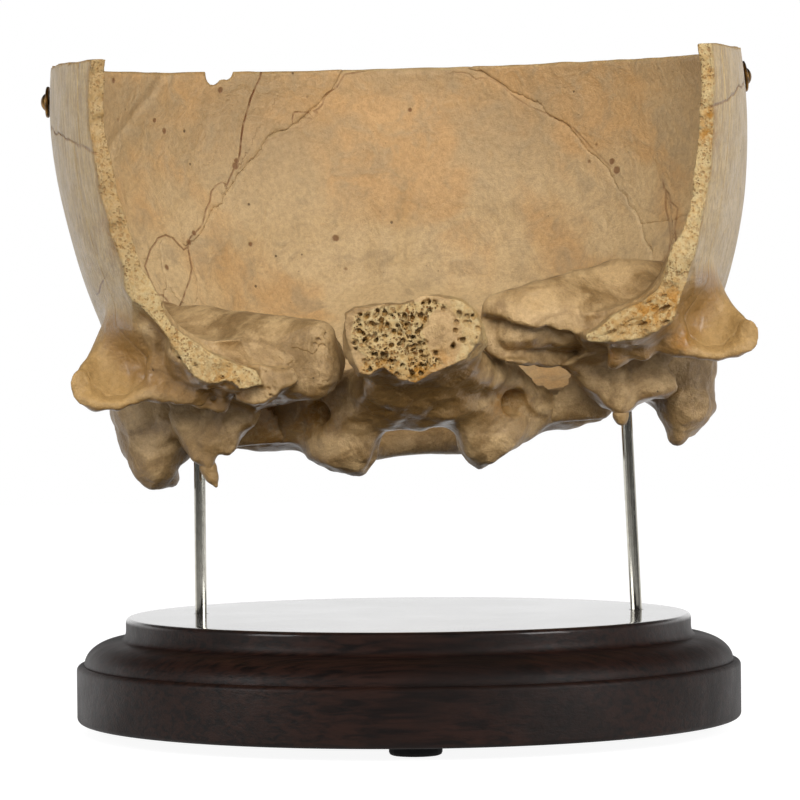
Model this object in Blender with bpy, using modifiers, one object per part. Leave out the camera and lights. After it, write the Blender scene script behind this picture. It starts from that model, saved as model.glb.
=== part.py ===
"""Partial human skull on a turned wooden stand.

The back of a skull, sawn level at the top and cut across in front of the ears, rests on two thin
steel rods that stand in a moulded wooden base.  The skull is modelled in its own frame, with X to
its left, Y to the back and Z up, and its origin midway between the ear openings.  An empty then
leans it as it sits on the rods.  The world origin is the centre of the wooden base's underside.

Points on the braincase are given by an azimuth, in degrees from the middle of the back, and a
level, which is a share of the vault's depth above or below its widest ring.
"""
import math

import bmesh
import bpy
import numpy as np
from mathutils import Euler, Matrix, Vector

# Stand
BASE_RADIUS = 0.0662
PLINTH_HEIGHT = 0.0113
PLINTH_ROUND = 0.0010
LEDGE_WIDTH = 0.0015
BEAD_WIDTH = 0.0072
BEAD_HEIGHT = 0.0049
COVE_WIDTH = 0.0011
COVE_HEIGHT = 0.0019
LIP_HEIGHT = 0.0025
LIP_ROUND = 0.0009
ROD_RADIUS = 0.00118
ROD_DEPTH_IN_BASE = 0.0120
ROD_DEPTH_IN_SKULL = 0.0085
ROD_HALF_SPACING = 0.0439
ROD_MIDDLE_X = 0.0021
ROD_Y = 0.0056
RIGHT_ROD_LEAN = 0.0
LEFT_ROD_LEAN = math.radians(2.4)
FOOT_RADIUS = 0.0050
FOOT_HEIGHT = 0.0026
FOOT_INSET = 0.0162
FOOT_EDGE_ROUND = 0.0006
FOOT_NAMES = ("front", "left", "back", "right")
FOOT_RING_TURN = math.radians(1.2)

# How the skull sits on the rods
SKULL_RISE = 0.0534
SKULL_OFFSET_X = 0.0015
SKULL_OFFSET_Y = -0.0020
SKULL_ROLL = math.radians(-3.7)
SKULL_TURN = math.radians(1.5)

# Braincase
HALF_BREADTH = 0.0718
FRONT_LENGTH = 0.0880
BACK_LENGTH = 0.0705
VAULT_DEPTH = 0.0900
VAULT_CENTRE_SHARES = (0.028, 0.383, 0.522)
PARIETAL_WALL = 0.0033
TEMPORAL_WALL = 0.0034
OCCIPITAL_WALL = 0.0062
SUTURE_GAP = 0.0007
SAW_ABOVE_WIDEST = 0.0113
SAW_PITCH = math.radians(3.3)
SAW_ROLL = math.radians(2.6)
FRONT_CUT = 0.0200
NUCHAL_SLOPE_SHARE = 0.66
NUCHAL_START_SHARE = 0.74
SKULL_FLOOR = 0.0183
FORAMEN_DROP = 0.0042
FORAMEN_DROP_SHARES = (0.30, 0.10, 0.74, 0.16)
FLOOR_BLEND = 0.0080

# Fits
GAP = 0.0003
OVERRUN = 0.0040
LEAN_CLEARANCE = 0.0007
BONE_CLEARANCE = 0.00045

# Landmarks on the skull's left side, as shares of half breadth, back length and vault depth
LANDMARK_SHARES = {
    "mastoid_root": (0.760, 0.340, 0.100),
    "mastoid_tip": (0.735, 0.235, -0.268),
    "petrous_root": (0.770, 0.300, 0.016),
    "petrous_waist": (0.500, 0.055, 0.010),
    "petrous_apex": (0.205, -0.145, 0.010),
    "zygoma_root": (0.790, 0.000, 0.030),
    "zygoma_bend": (0.890, -0.120, -0.015),
    "zygoma_tip": (0.938, -0.205, -0.030),
    "floor_outer": (0.738, -0.135, 0.105),
    "floor_bend": (0.641, -0.135, 0.003),
    "floor_inner": (0.460, -0.135, -0.032),
    "fossa_outer": (0.875, -0.180, -0.045),
    "fossa_inner": (0.500, -0.130, -0.070),
    "tympanic_top": (0.600, 0.020, -0.050),
    "tympanic_foot": (0.574, 0.040, -0.205),
    "styloid_top": (0.578, 0.038, -0.160),
    "clivus_front": (0.0, -0.330, 0.030),
    "clivus_waist": (0.0, -0.060, -0.060),
    "clivus_foot": (0.0, 0.110, -0.150),
    "side_front": (0.120, 0.080, -0.125),
    "side_middle": (0.300, 0.260, -0.185),
    "side_back": (0.250, 0.560, -0.205),
    "condyle": (0.193, 0.275, -0.215),
    "jugular_inner": (0.260, 0.300, -0.170),
    "jugular_outer": (0.520, 0.330, -0.165),
    "foramen": (0.0, 0.412, -0.200),
    "canal_inner": (0.110, 0.200, -0.105),
    "canal_outer": (0.330, 0.080, -0.125),
}
MASTOID_HALF_WIDTH = 0.0082
MASTOID_HALF_DEPTH = 0.0150
MASTOID_SHARES = ((0.0, 0.95, 1.0), (0.3, 1.0, 0.95), (0.6, 0.95, 0.72), (0.84, 0.72, 0.5), (1.0, 0.3, 0.22))
PETROUS_HALF_HEIGHT = 0.0105
PETROUS_HALF_DEPTH = 0.0115
PETROUS_SHARES = ((0.0, 0.9, 1.0), (0.3, 0.95, 1.0), (0.6, 0.8, 0.9), (0.85, 0.66, 0.76), (1.0, 0.42, 0.5))
ZYGOMA_HALF_HEIGHT = 0.0036
ZYGOMA_HALF_WIDTH = 0.0022
ZYGOMA_SHARES = ((0.0, 1.5, 2.0), (0.4, 1.2, 1.3), (0.75, 1.0, 1.0), (1.0, 0.85, 0.8))
FLOOR_HALF_HEIGHT = 0.0022
FLOOR_HALF_DEPTH = 0.0100
FLOOR_SHARES = ((0.0, 0.9, 0.8), (0.3, 1.0, 1.0), (0.7, 1.0, 1.1), (1.0, 0.8, 1.0))
FOSSA_HALF_HEIGHT = 0.0034
FOSSA_HALF_DEPTH = 0.0042
FOSSA_SHARES = ((0.0, 0.75, 0.6), (0.25, 1.0, 0.9), (0.6, 0.9, 1.0), (1.0, 1.0, 1.1))
TYMPANIC_HALF_WIDTH = 0.0070
TYMPANIC_HALF_DEPTH = 0.0038
TYMPANIC_SHARES = ((0.0, 1.0, 1.2), (0.4, 0.85, 1.0), (0.75, 0.55, 0.85), (1.0, 0.34, 0.62))
STYLOID_RADIUS = 0.0013
RIGHT_STYLOID_LENGTH = 0.0100
LEFT_STYLOID_LENGTH = 0.0046
STYLOID_TIP_SHARES = ((0.0, 0.9), (0.5, 1.0), (0.85, 0.85), (1.0, 0.35))
CLIVUS_HALF_WIDTH = 0.0135
CLIVUS_HALF_HEIGHT = 0.0072
CLIVUS_SHARES = ((0.0, 1.0, 1.0), (0.3, 1.0, 0.95), (0.6, 0.86, 0.8), (1.0, 0.95, 0.5))
SIDE_HALF_WIDTH = 0.0058
SIDE_HALF_HEIGHT = 0.0042
SIDE_SHARES = ((0.0, 0.8, 1.0), (0.35, 1.0, 1.1), (0.7, 1.0, 1.0), (1.0, 0.7, 0.6))
JUGULAR_HALF_DEPTH = 0.0060
JUGULAR_HALF_HEIGHT = 0.0030
JUGULAR_SHARES = ((0.0, 1.0, 1.2), (0.5, 1.0, 1.0), (1.0, 0.8, 0.85))
CONDYLE_HALF_WIDTH = 0.0058
CONDYLE_HALF_LENGTH = 0.0125
CONDYLE_HALF_HEIGHT = 0.0062
CONDYLE_TOE_IN = math.radians(30.0)
CREST_SHARES = ((1.300, 0.56), (1.262, 0.28), (1.120, 0.085), (0.920, -0.025), (0.740, -0.105))
CREST_HALF_HEIGHT = 0.0031
CREST_HALF_WIDTH = 0.0056
CREST_TAPER = ((0.0, 0.5, 0.5), (0.25, 0.85, 0.9), (0.6, 1.0, 1.0), (1.0, 1.0, 1.0))
FORAMEN_HALF_WIDTH = 0.0150
FORAMEN_HALF_LENGTH = 0.0180
CANAL_RADIUS = 0.0020

# Seams on the braincase as (azimuth, level) pairs; the right side's azimuths are given unsigned
SEAM_SHARES = {
    "lambdoid_right": ((1.0, 0.29), (12.0, 0.11), (24.6, 0.012), (32.4, -0.076), (43.9, -0.211),
                       (53.0, -0.267)),
    "lambdoid_left": ((4.0, 0.29), (23.6, 0.126), (31.4, 0.058), (42.0, -0.067), (48.1, -0.15),
                      (55.0, -0.267)),
    "squamous": ((54.0, -0.267), (70.0, -0.255), (83.0, -0.235), (89.0, -0.09), (98.0, 0.02), (110.0, 0.0),
                 (124.5, -0.067), (137.0, -0.11)),
    "mastoid_right": ((53.0, -0.267), (60.0, -0.40), (68.0, -0.53), (76.0, -0.64)),
    "mastoid_left": ((55.0, -0.267), (61.0, -0.40), (68.0, -0.53), (76.0, -0.64)),
    "skull_base": ((76.0, -0.64), (84.0, -0.76), (92.0, -0.86), (104.0, -0.93)),
}
PATCH_TOP_SHARE = 0.29
PATCH_FRONT_AZIMUTH = 137.0
TEMPORAL_FOOT_SHARE = -0.58
FORAMEN_RING_SHARE = -0.972
SUTURAL_AZIMUTH = -50.5
SUTURAL_LEVEL_SHARE = -0.295
SUTURAL_HALF_WIDTH = 0.0052
SUTURAL_HALF_HEIGHT = 0.0080

# Brass pins for the hooks of the missing skullcap
PIN_AZIMUTH = 88.0
RIGHT_PIN_DROP = 0.0070
LEFT_PIN_DROP = 0.0055
PIN_HEAD_RADIUS = 0.0018
PIN_HEAD_HEIGHT = 0.0015
PIN_SHANK_RADIUS = 0.0008
PIN_DEPTH = 0.0024
WASHER_RADIUS = 0.0032
WASHER_THICKNESS = 0.0008

# Mesh density
BASE_STEPS = 56
PAD_SIDES = 20
ROD_SIDES = 16
LOFT_SIDES = 16
PATCH_SPACING = 0.0060
PROBE_AZIMUTH = 0.5
PROBE_LEVEL_SHARE = 0.006

COLOURS = {
    "wood": ((0.055, 0.022, 0.014), 0.35, 0.0),
    "steel": ((0.62, 0.61, 0.58), 0.30, 1.0),
    "rubber": ((0.015, 0.015, 0.015), 0.80, 0.0),
    "bone": ((0.66, 0.50, 0.32), 0.45, 0.0),
    "styloid": ((0.42, 0.24, 0.09), 0.50, 0.0),
    "brass": ((0.38, 0.26, 0.10), 0.40, 1.0),
}
SIDES = {"right": -1, "left": 1}


def clear_scene():
    for item in list(bpy.data.objects):
        bpy.data.objects.remove(item, do_unlink=True)


def new_collection(name):
    collection = bpy.data.collections.new(name)
    bpy.context.scene.collection.children.link(collection)
    return collection


def set_material(item, finish):
    """Gives the piece its own Principled material in the named finish."""
    colour, roughness, metallic = COLOURS[finish]
    material = bpy.data.materials.new(item.name + "_" + finish)
    material.use_nodes = True
    shader = material.node_tree.nodes["Principled BSDF"]
    shader.inputs["Base Color"].default_value = (*colour, 1.0)
    shader.inputs["Roughness"].default_value = roughness
    shader.inputs["Metallic"].default_value = metallic
    item.data.materials.clear()
    item.data.materials.append(material)


def add_object(name, mesh, collection, parent=None):
    item = bpy.data.objects.new(name, mesh)
    collection.objects.link(item)
    item.parent = parent
    return item


def as_cutter(item):
    item.hide_render = True
    item.display_type = "WIRE"
    return item


def boolean(item, other, operation):
    modifier = item.modifiers.new(operation.lower() + "_" + other.name, "BOOLEAN")
    modifier.operation = operation
    modifier.object = other
    modifier.solver = "EXACT"


def smooth(mesh, angle=math.radians(40.0)):
    mesh.shade_smooth()
    mesh.set_sharp_from_angle(angle=angle)


def disc_mesh(name, radius, height, sides, round_width=0.0):
    """A cylinder that stands on its origin, with its upper and lower edges rounded if asked."""
    form = bmesh.new()
    bmesh.ops.create_cone(form, cap_ends=True, segments=sides, radius1=radius, radius2=radius, depth=height)
    bmesh.ops.translate(form, vec=(0.0, 0.0, height / 2), verts=form.verts)
    if round_width:
        rims = [edge for edge in form.edges if len({round(v.co.z, 6) for v in edge.verts}) == 1]
        bmesh.ops.bevel(form, geom=rims, offset=round_width, segments=2, affect="EDGES", profile=0.5)
    mesh = bpy.data.meshes.new(name)
    form.to_mesh(mesh)
    form.free()
    smooth(mesh)
    return mesh


def turned_object(name, profile, steps, collection, parent=None, ring=False):
    """A profile of (radius, height) points turned about Z, which runs down its outer side.

    It starts and ends on the axis, or closes on itself for a ring.
    """
    mesh = bpy.data.meshes.new(name)
    points = [(radius, 0.0, height) for radius, height in profile]
    edges = [(i, i + 1) for i in range(len(points) - 1)]
    if ring:
        edges.append((len(points) - 1, 0))
    mesh.from_pydata(points, edges, [])
    item = add_object(name, mesh, collection, parent)
    screw = item.modifiers.new("turning", "SCREW")
    screw.steps = steps
    screw.render_steps = steps
    screw.use_merge_vertices = True
    screw.merge_threshold = 0.00001
    screw.use_smooth_shade = True
    return item


def arc(centre, radii, start, end, steps):
    """Points of an elliptical arc, with its angles in degrees from the outward direction."""
    angles = np.radians(np.linspace(start, end, steps + 1))
    return [(centre[0] + radii[0] * math.cos(a), centre[1] + radii[1] * math.sin(a)) for a in angles]


def base_profile():
    """The stand's outline: rounded lip, cove, broad bead, ledge and plinth."""
    ledge = BASE_RADIUS - LEDGE_WIDTH
    neck = ledge - BEAD_WIDTH
    lip = neck - COVE_WIDTH
    cove_top = PLINTH_HEIGHT + BEAD_HEIGHT + COVE_HEIGHT
    top = cove_top + LIP_HEIGHT
    points = [(0.0, top)]
    points += arc((lip - LIP_ROUND, top - LIP_ROUND), (LIP_ROUND, LIP_ROUND), 90, 0, 3)
    points += arc((neck, cove_top), (COVE_WIDTH, COVE_HEIGHT), 180, 270, 4)
    points += arc((neck, PLINTH_HEIGHT), (BEAD_WIDTH, BEAD_HEIGHT), 80, 0, 7)
    edge = BASE_RADIUS - PLINTH_ROUND
    points += arc((edge, PLINTH_HEIGHT - PLINTH_ROUND), (PLINTH_ROUND, PLINTH_ROUND), 90, 0, 3)
    points += arc((edge, PLINTH_ROUND), (PLINTH_ROUND, PLINTH_ROUND), 0, -90, 3)
    points.append((0.0, 0.0))
    return points, top


def make_base(parts, cutters):
    """The turned wooden base with a blind hole for each rod."""
    profile, top = base_profile()
    base = turned_object("wooden_base", profile, BASE_STEPS, parts)
    set_material(base, "wood")
    for side in SIDES:
        foot, direction = rod_axis(side, top)
        hole = disc_mesh("rod_hole_" + side, ROD_RADIUS + GAP, ROD_DEPTH_IN_BASE + OVERRUN, ROD_SIDES)
        cutter = as_cutter(add_object("rod_hole_" + side, hole, cutters))
        cutter.matrix_world = along(foot - direction * ROD_DEPTH_IN_BASE, direction)
        boolean(base, cutter, "DIFFERENCE")
    return top


def rod_axis(side, top):
    """Where a rod leaves the top of the base, and the way it points."""
    lean = RIGHT_ROD_LEAN if side == "right" else LEFT_ROD_LEAN
    foot = Vector((ROD_MIDDLE_X + SIDES[side] * ROD_HALF_SPACING, ROD_Y, top))
    return foot, Vector((-math.sin(lean), 0.0, math.cos(lean)))


def along(point, direction):
    """A placing matrix with its origin at the point and its Z axis along the direction."""
    return Matrix.Translation(point) @ direction.to_track_quat("Z", "Y").to_matrix().to_4x4()


def rod_seat(side, top, skull_matrix):
    """Where a rod's axis meets the level of the socket roofs, half way up the petrous bone."""
    foot, direction = rod_axis(side, top)
    level = landmark("petrous_waist", 1).z - PETROUS_HALF_HEIGHT + ROD_DEPTH_IN_SKULL
    plane_point = skull_matrix @ Vector((0.0, 0.0, level))
    normal = skull_matrix.to_3x3() @ Vector((0.0, 0.0, 1.0))
    return foot + direction * ((plane_point - foot).dot(normal) / direction.dot(normal))


def make_rods(parts, top, skull_matrix):
    for side in SIDES:
        foot, direction = rod_axis(side, top)
        start = foot - direction * (ROD_DEPTH_IN_BASE - GAP)
        end = rod_seat(side, top, skull_matrix) - direction * GAP
        mesh = disc_mesh("support_rod_" + side, ROD_RADIUS, (end - start).length, ROD_SIDES)
        rod = add_object("support_rod_" + side, mesh, parts)
        rod.matrix_world = along(start, direction)
        set_material(rod, "steel")


def make_feet(parts):
    ring = BASE_RADIUS - FOOT_INSET
    for index, where in enumerate(FOOT_NAMES):
        turn = FOOT_RING_TURN + index * math.tau / len(FOOT_NAMES)
        mesh = disc_mesh("foot_pad_" + where, FOOT_RADIUS, FOOT_HEIGHT - GAP, PAD_SIDES, FOOT_EDGE_ROUND)
        pad = add_object("foot_pad_" + where, mesh, parts)
        pad.location = (ring * math.sin(turn), -ring * math.cos(turn), -FOOT_HEIGHT)
        set_material(pad, "rubber")


def place(shares, side):
    """A point in the skull's frame from its shares of half breadth, back length and vault depth."""
    return Vector((side * shares[0] * HALF_BREADTH, shares[1] * BACK_LENGTH, shares[2] * VAULT_DEPTH))


def landmark(name, side):
    return place(LANDMARK_SHARES[name], side)


def soft_max(a, b, blend):
    return 0.5 * (a + b + math.sqrt((a - b) ** 2 + blend ** 2))


def soft_step(value, start, width):
    share = min(1.0, max(0.0, (value - start) / width))
    return share * share * (3.0 - 2.0 * share)


def floor_level(x, y):
    """The underside of the skull: lowest round the foramen, then rising to the nape."""
    rise = NUCHAL_SLOPE_SHARE * (y - NUCHAL_START_SHARE * BACK_LENGTH)
    wide, wide_fade, long, long_fade = FORAMEN_DROP_SHARES
    beside = soft_step(abs(x), (wide - wide_fade) * HALF_BREADTH, wide_fade * HALF_BREADTH)
    behind = soft_step(y, long * BACK_LENGTH, long_fade * BACK_LENGTH)
    drop = FORAMEN_DROP * (1.0 - max(beside, behind))
    return -SKULL_FLOOR - drop + soft_max(0.0, rise, FLOOR_BLEND / 2)


def vault_point(azimuth, level, grow=0.0):
    """A point on the outer surface: an ellipsoid with unlike halves, lifted where the base is flat."""
    centre = place(VAULT_CENTRE_SHARES, 1)
    turn = math.radians(azimuth)
    ring = math.sqrt(max(0.0, 1.0 - level ** 2))
    length = (BACK_LENGTH if math.cos(turn) > 0 else FRONT_LENGTH) + grow
    x = (HALF_BREADTH + grow) * math.sin(turn) * ring
    y = centre.y + length * math.cos(turn) * ring
    z = centre.z + (VAULT_DEPTH + grow) * level
    return Vector((x, y, soft_max(z, floor_level(x, y) - grow, FLOOR_BLEND)))


def outward(azimuth, level):
    """The outward direction of the outer surface, from two short steps along it."""
    across = vault_point(azimuth + PROBE_AZIMUTH, level) - vault_point(azimuth - PROBE_AZIMUTH, level)
    up = vault_point(azimuth, level + PROBE_LEVEL_SHARE) - vault_point(azimuth, level - PROBE_LEVEL_SHARE)
    return up.cross(across).normalized()


def seam(name, shift_azimuth=0.0, shift_level=0.0, side=1):
    """One of the seams, moved aside by half the gap between two bones."""
    step_azimuth = math.degrees(SUTURE_GAP / 2 / HALF_BREADTH)
    step_level = SUTURE_GAP / 2 / VAULT_DEPTH
    return [(side * (azimuth + shift_azimuth * step_azimuth), level + shift_level * step_level)
            for azimuth, level in SEAM_SHARES[name]]


def sample(points, count):
    """Evenly spaced points along a broken line of (azimuth, level) pairs."""
    line = np.array(points, float)
    scaled = line * np.array([math.radians(HALF_BREADTH), VAULT_DEPTH])
    run = np.concatenate([[0.0], np.cumsum(np.linalg.norm(np.diff(scaled, axis=0), axis=1))])
    at = np.linspace(0.0, run[-1], count + 1)
    return np.stack([np.interp(at, run, line[:, 0]), np.interp(at, run, line[:, 1])], axis=1)


def patch_mesh(name, bottom, top, start, end, grow=0.0, pitch_line=None):
    """A grid between four seams, which meet at their corners, laid on the outer surface.

    Two patches that share a seam take their steps across from it, so that their edges stay parallel.
    """
    size = vault_span(pitch_line or bottom), vault_span(start)
    across, up = (max(4, round(span / PATCH_SPACING)) for span in size)
    low, high = sample(bottom, across), sample(top, across)
    first, last = sample(start, up), sample(end, up)
    form = bmesh.new()
    rows = []
    for j in range(up + 1):
        v = j / up
        row = []
        for i in range(across + 1):
            u = i / across
            ruled = (1 - v) * low[i] + v * high[i] + (1 - u) * first[j] + u * last[j]
            corners = ((1 - u) * (1 - v) * low[0] + u * (1 - v) * low[-1]
                       + (1 - u) * v * high[0] + u * v * high[-1])
            row.append(form.verts.new(vault_point(*(ruled - corners), grow)))
        rows.append(row)
    for j in range(up):
        for i in range(across):
            form.faces.new((rows[j][i], rows[j][i + 1], rows[j + 1][i + 1], rows[j + 1][i]))
    middle = rows[up // 2][across // 2]
    form.normal_update()
    if middle.normal.dot(middle.co - place(VAULT_CENTRE_SHARES, 1)) < 0:
        bmesh.ops.reverse_faces(form, faces=form.faces)
    bmesh.ops.triangulate(form, faces=form.faces)
    mesh = bpy.data.meshes.new(name)
    form.to_mesh(mesh)
    form.free()
    return mesh


def vault_span(line):
    """The length of a seam laid on the outer surface."""
    points = [vault_point(*pair) for pair in line]
    return sum((b - a).length for a, b in zip(points, points[1:]))


def shell(item, wall, grow=0.0):
    solid = item.modifiers.new("wall", "SOLIDIFY")
    solid.thickness = wall + 2 * grow
    solid.offset = -1.0
    solid.use_quality_normals = True


def loft(name, points, half_across, half_up, shares, collection, parent, up=(0.0, 0.0, 1.0), grow=0.0):
    """An oval section carried through two or three points; a share is (along, across, up)."""
    form = bmesh.new()
    rings = []
    for along_share, across_share, up_share in shares:
        centre, tangent = on_path(points, along_share)
        rise = (Vector(up) - tangent * tangent.dot(Vector(up))).normalized()
        side = rise.cross(tangent)
        ring = []
        for k in range(LOFT_SIDES):
            angle = math.tau * k / LOFT_SIDES
            wide = side * (half_across * across_share + grow) * math.cos(angle)
            high = rise * (half_up * up_share + grow) * math.sin(angle)
            ring.append(form.verts.new(centre + wide + high))
        rings.append(ring)
    for a, b in zip(rings, rings[1:]):
        for k in range(LOFT_SIDES):
            n = (k + 1) % LOFT_SIDES
            form.faces.new((a[k], a[n], b[n], b[k]))
    form.faces.new(rings[0])
    form.faces.new(rings[-1])
    bmesh.ops.recalc_face_normals(form, faces=form.faces)
    bmesh.ops.triangulate(form, faces=form.faces)
    mesh = bpy.data.meshes.new(name)
    form.to_mesh(mesh)
    form.free()
    return as_cutter(add_object(name, mesh, collection, parent))


def on_path(points, share):
    """A place and its direction on the straight line or the parabola through the points."""
    if len(points) == 2:
        a, b = points
        return a.lerp(b, share), (b - a).normalized()
    a, b, c = points
    bend = a + c - 2 * b
    start = 4 * b - 3 * a - c
    return a + start * share + 2 * bend * share ** 2, (start + 4 * bend * share).normalized()


def oval_prism(name, azimuth, level, half_width, half_height, collection, parent):
    """A prism of oval section that stands square to the braincase, for cutting one bone free."""
    form = bmesh.new()
    reach = 2 * OCCIPITAL_WALL
    bmesh.ops.create_cone(form, cap_ends=True, segments=2 * LOFT_SIDES, radius1=1.0, radius2=1.0, depth=2.0)
    bmesh.ops.scale(form, vec=(half_width, half_height, reach), verts=form.verts)
    mesh = bpy.data.meshes.new(name)
    form.to_mesh(mesh)
    form.free()
    item = as_cutter(add_object(name, mesh, collection, parent))
    item.matrix_local = along(vault_point(azimuth, level), outward(azimuth, level))
    return item


def half_space(name, point, normal, collection, parent):
    """A large block that fills the side of a plane towards which its normal points."""
    reach = 2 * (FRONT_LENGTH + BACK_LENGTH)
    form = bmesh.new()
    bmesh.ops.create_cube(form, size=reach)
    bmesh.ops.translate(form, vec=(0.0, 0.0, reach / 2), verts=form.verts)
    mesh = bpy.data.meshes.new(name)
    form.to_mesh(mesh)
    form.free()
    item = as_cutter(add_object(name, mesh, collection, parent))
    item.matrix_local = along(point, normal)
    return item


def saw_level(x, y):
    """The height of the saw cut above a place in the skull's frame, set from the vault's widest ring."""
    height = place(VAULT_CENTRE_SHARES, 1).z + SAW_ABOVE_WIDEST
    return height - x * math.tan(SAW_ROLL) + y * math.tan(SAW_PITCH)


def occipital_forms(cutters, skull, grow=0.0):
    """The solid parts of the occipital bone round the foramen magnum."""
    tag = "_clearance" if grow else ""
    path = [landmark(name, 1) for name in ("clivus_front", "clivus_waist", "clivus_foot")]
    forms = [loft("clivus" + tag, path, CLIVUS_HALF_WIDTH, CLIVUS_HALF_HEIGHT, CLIVUS_SHARES,
                  cutters, skull, grow=grow)]
    for side, sign in SIDES.items():
        end = "_" + side + tag
        path = [landmark(name, sign) for name in ("side_front", "side_middle", "side_back")]
        forms.append(loft("side_part" + end, path, SIDE_HALF_WIDTH, SIDE_HALF_HEIGHT, SIDE_SHARES,
                          cutters, skull, grow=grow))
        path = [landmark(name, sign) for name in ("jugular_inner", "jugular_outer")]
        forms.append(loft("jugular_process" + end, path, JUGULAR_HALF_DEPTH, JUGULAR_HALF_HEIGHT,
                          JUGULAR_SHARES, cutters, skull, grow=grow))
        forms.append(condyle("condyle" + end, sign, cutters, skull, grow))
    return forms


def internal_crest(cutters, skull):
    """The ridge inside the back wall, in two lengths that meet above the nape."""
    points = [place((0.0, along_share, up_share), 1) for along_share, up_share in CREST_SHARES]
    lengths = (("crest_upper", points[:3]), ("crest_lower", points[:1:-1]))
    return [loft(name, path, CREST_HALF_HEIGHT, CREST_HALF_WIDTH, CREST_TAPER, cutters, skull, (1.0, 0.0, 0.0))
            for name, path in lengths]


def condyle(name, sign, cutters, skull, grow):
    """An egg-shaped joint knuckle, toed in towards the front."""
    form = bmesh.new()
    bmesh.ops.create_uvsphere(form, u_segments=LOFT_SIDES, v_segments=LOFT_SIDES // 2, radius=1.0)
    radii = (CONDYLE_HALF_WIDTH, CONDYLE_HALF_LENGTH, CONDYLE_HALF_HEIGHT)
    bmesh.ops.scale(form, vec=[radius + grow for radius in radii], verts=form.verts)
    mesh = bpy.data.meshes.new(name)
    form.to_mesh(mesh)
    form.free()
    item = as_cutter(add_object(name, mesh, cutters, skull))
    item.location = landmark("condyle", sign)
    item.rotation_euler = Euler((0.0, 0.0, -sign * CONDYLE_TOE_IN))
    return item


def occipital_patch(name, grow=0.0):
    """The curved plate of the occipital bone, from the saw cut down to the foramen."""
    step = 0.0 if not grow else 1.0 + 2 * grow / SUTURE_GAP
    sides = {}
    for side, sign in SIDES.items():
        line = seam("skull_base", step - 1, -1.0 * (not grow), sign)[::-1]
        line += seam("mastoid_" + side, step - 1, 0.0, sign)[-2::-1]
        line += seam("lambdoid_" + side, step - 1, 0.0, sign)[-2::-1]
        sides[side] = line
    reach = SEAM_SHARES["skull_base"][-1][0]
    turns = np.linspace(-reach, reach, 9)
    ring = [(turn, FORAMEN_RING_SHARE) for turn in turns]
    ring[0], ring[-1] = sides["right"][0], sides["left"][0]
    top = [sides["right"][-1], sides["left"][-1]]
    return patch_mesh(name, ring, top, sides["right"], sides["left"], grow)


def make_occipital(parts, cutters, skull, shared):
    bone = add_object("occipital_bone", occipital_patch("occipital_bone"), parts, skull)
    shell(bone, OCCIPITAL_WALL)
    for form in occipital_forms(cutters, skull) + internal_crest(cutters, skull):
        boolean(bone, form, "UNION")
    boolean(bone, shared["foramen"], "DIFFERENCE")
    for side in SIDES:
        boolean(bone, shared["canal_" + side], "DIFFERENCE")
    boolean(bone, shared["saw_cut"], "DIFFERENCE")
    boolean(bone, shared["front_cut"], "DIFFERENCE")
    boolean(bone, shared["sutural_hole"], "DIFFERENCE")
    set_material(bone, "bone")
    return bone


def make_parietal(side, parts, cutters, skull, shared, clearance):
    """One side wall above the squamous seam, with the hole for its brass pin."""
    sign = SIDES[side]
    name = "parietal_bone_" + side
    squamous = seam("squamous", 0.0, 1.0)
    rear = seam("lambdoid_" + side, 1.0, 0.0)[::-1]
    rear[0] = (rear[0][0], squamous[0][1])
    foot = [rear[0]] + squamous[1:]
    front = [foot[-1], (PATCH_FRONT_AZIMUTH, PATCH_TOP_SHARE)]
    top = [rear[-1], front[-1]]
    lines = [[(sign * azimuth, level) for azimuth, level in line] for line in (foot, top, rear, front)]
    bone = add_object(name, patch_mesh(name, *lines, pitch_line=SEAM_SHARES["squamous"]), parts, skull)
    shell(bone, PARIETAL_WALL)
    boolean(bone, clearance, "DIFFERENCE")
    boolean(bone, shared["saw_cut"], "DIFFERENCE")
    boolean(bone, shared["front_cut"], "DIFFERENCE")
    if side == "right":
        boolean(bone, shared["sutural_hole"], "DIFFERENCE")
    point, normal = pin_seat(side)
    mesh = disc_mesh("pin_hole_" + side, PIN_SHANK_RADIUS + GAP, PIN_DEPTH + OVERRUN, ROD_SIDES)
    hole = as_cutter(add_object("pin_hole_" + side, mesh, cutters, skull))
    hole.matrix_local = along(point - normal * (PIN_DEPTH + GAP), normal)
    boolean(bone, hole, "DIFFERENCE")
    set_material(bone, "bone")


def temporal_forms(side, cutters, skull):
    """The solid parts of one temporal bone: mastoid, petrous ridge, cheek root, fossa and ear sheath."""
    sign = SIDES[side]
    vertical = (0.0, 1.0, 0.0)
    forms = [
        ("mastoid", ("mastoid_root", "mastoid_tip"), MASTOID_HALF_WIDTH, MASTOID_HALF_DEPTH, MASTOID_SHARES),
        ("petrous", ("petrous_root", "petrous_waist", "petrous_apex"), PETROUS_HALF_DEPTH,
         PETROUS_HALF_HEIGHT, PETROUS_SHARES),
        ("zygoma", ("zygoma_root", "zygoma_bend", "zygoma_tip"), ZYGOMA_HALF_WIDTH, ZYGOMA_HALF_HEIGHT,
         ZYGOMA_SHARES),
        ("floor", ("floor_outer", "floor_bend", "floor_inner"), FLOOR_HALF_DEPTH, FLOOR_HALF_HEIGHT,
         FLOOR_SHARES),
        ("fossa", ("fossa_outer", "fossa_inner"), FOSSA_HALF_DEPTH, FOSSA_HALF_HEIGHT, FOSSA_SHARES),
        ("tympanic", ("tympanic_top", "tympanic_foot"), TYMPANIC_HALF_WIDTH, TYMPANIC_HALF_DEPTH,
         TYMPANIC_SHARES),
    ]
    made = []
    for name, marks, half_across, half_up, shares in forms:
        up = vertical if name in ("mastoid", "tympanic") else (0.0, 0.0, 1.0)
        path = [landmark(mark, sign) for mark in marks]
        made.append(loft(name + "_" + side, path, half_across, half_up, shares, cutters, skull, up))
    return made


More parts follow.
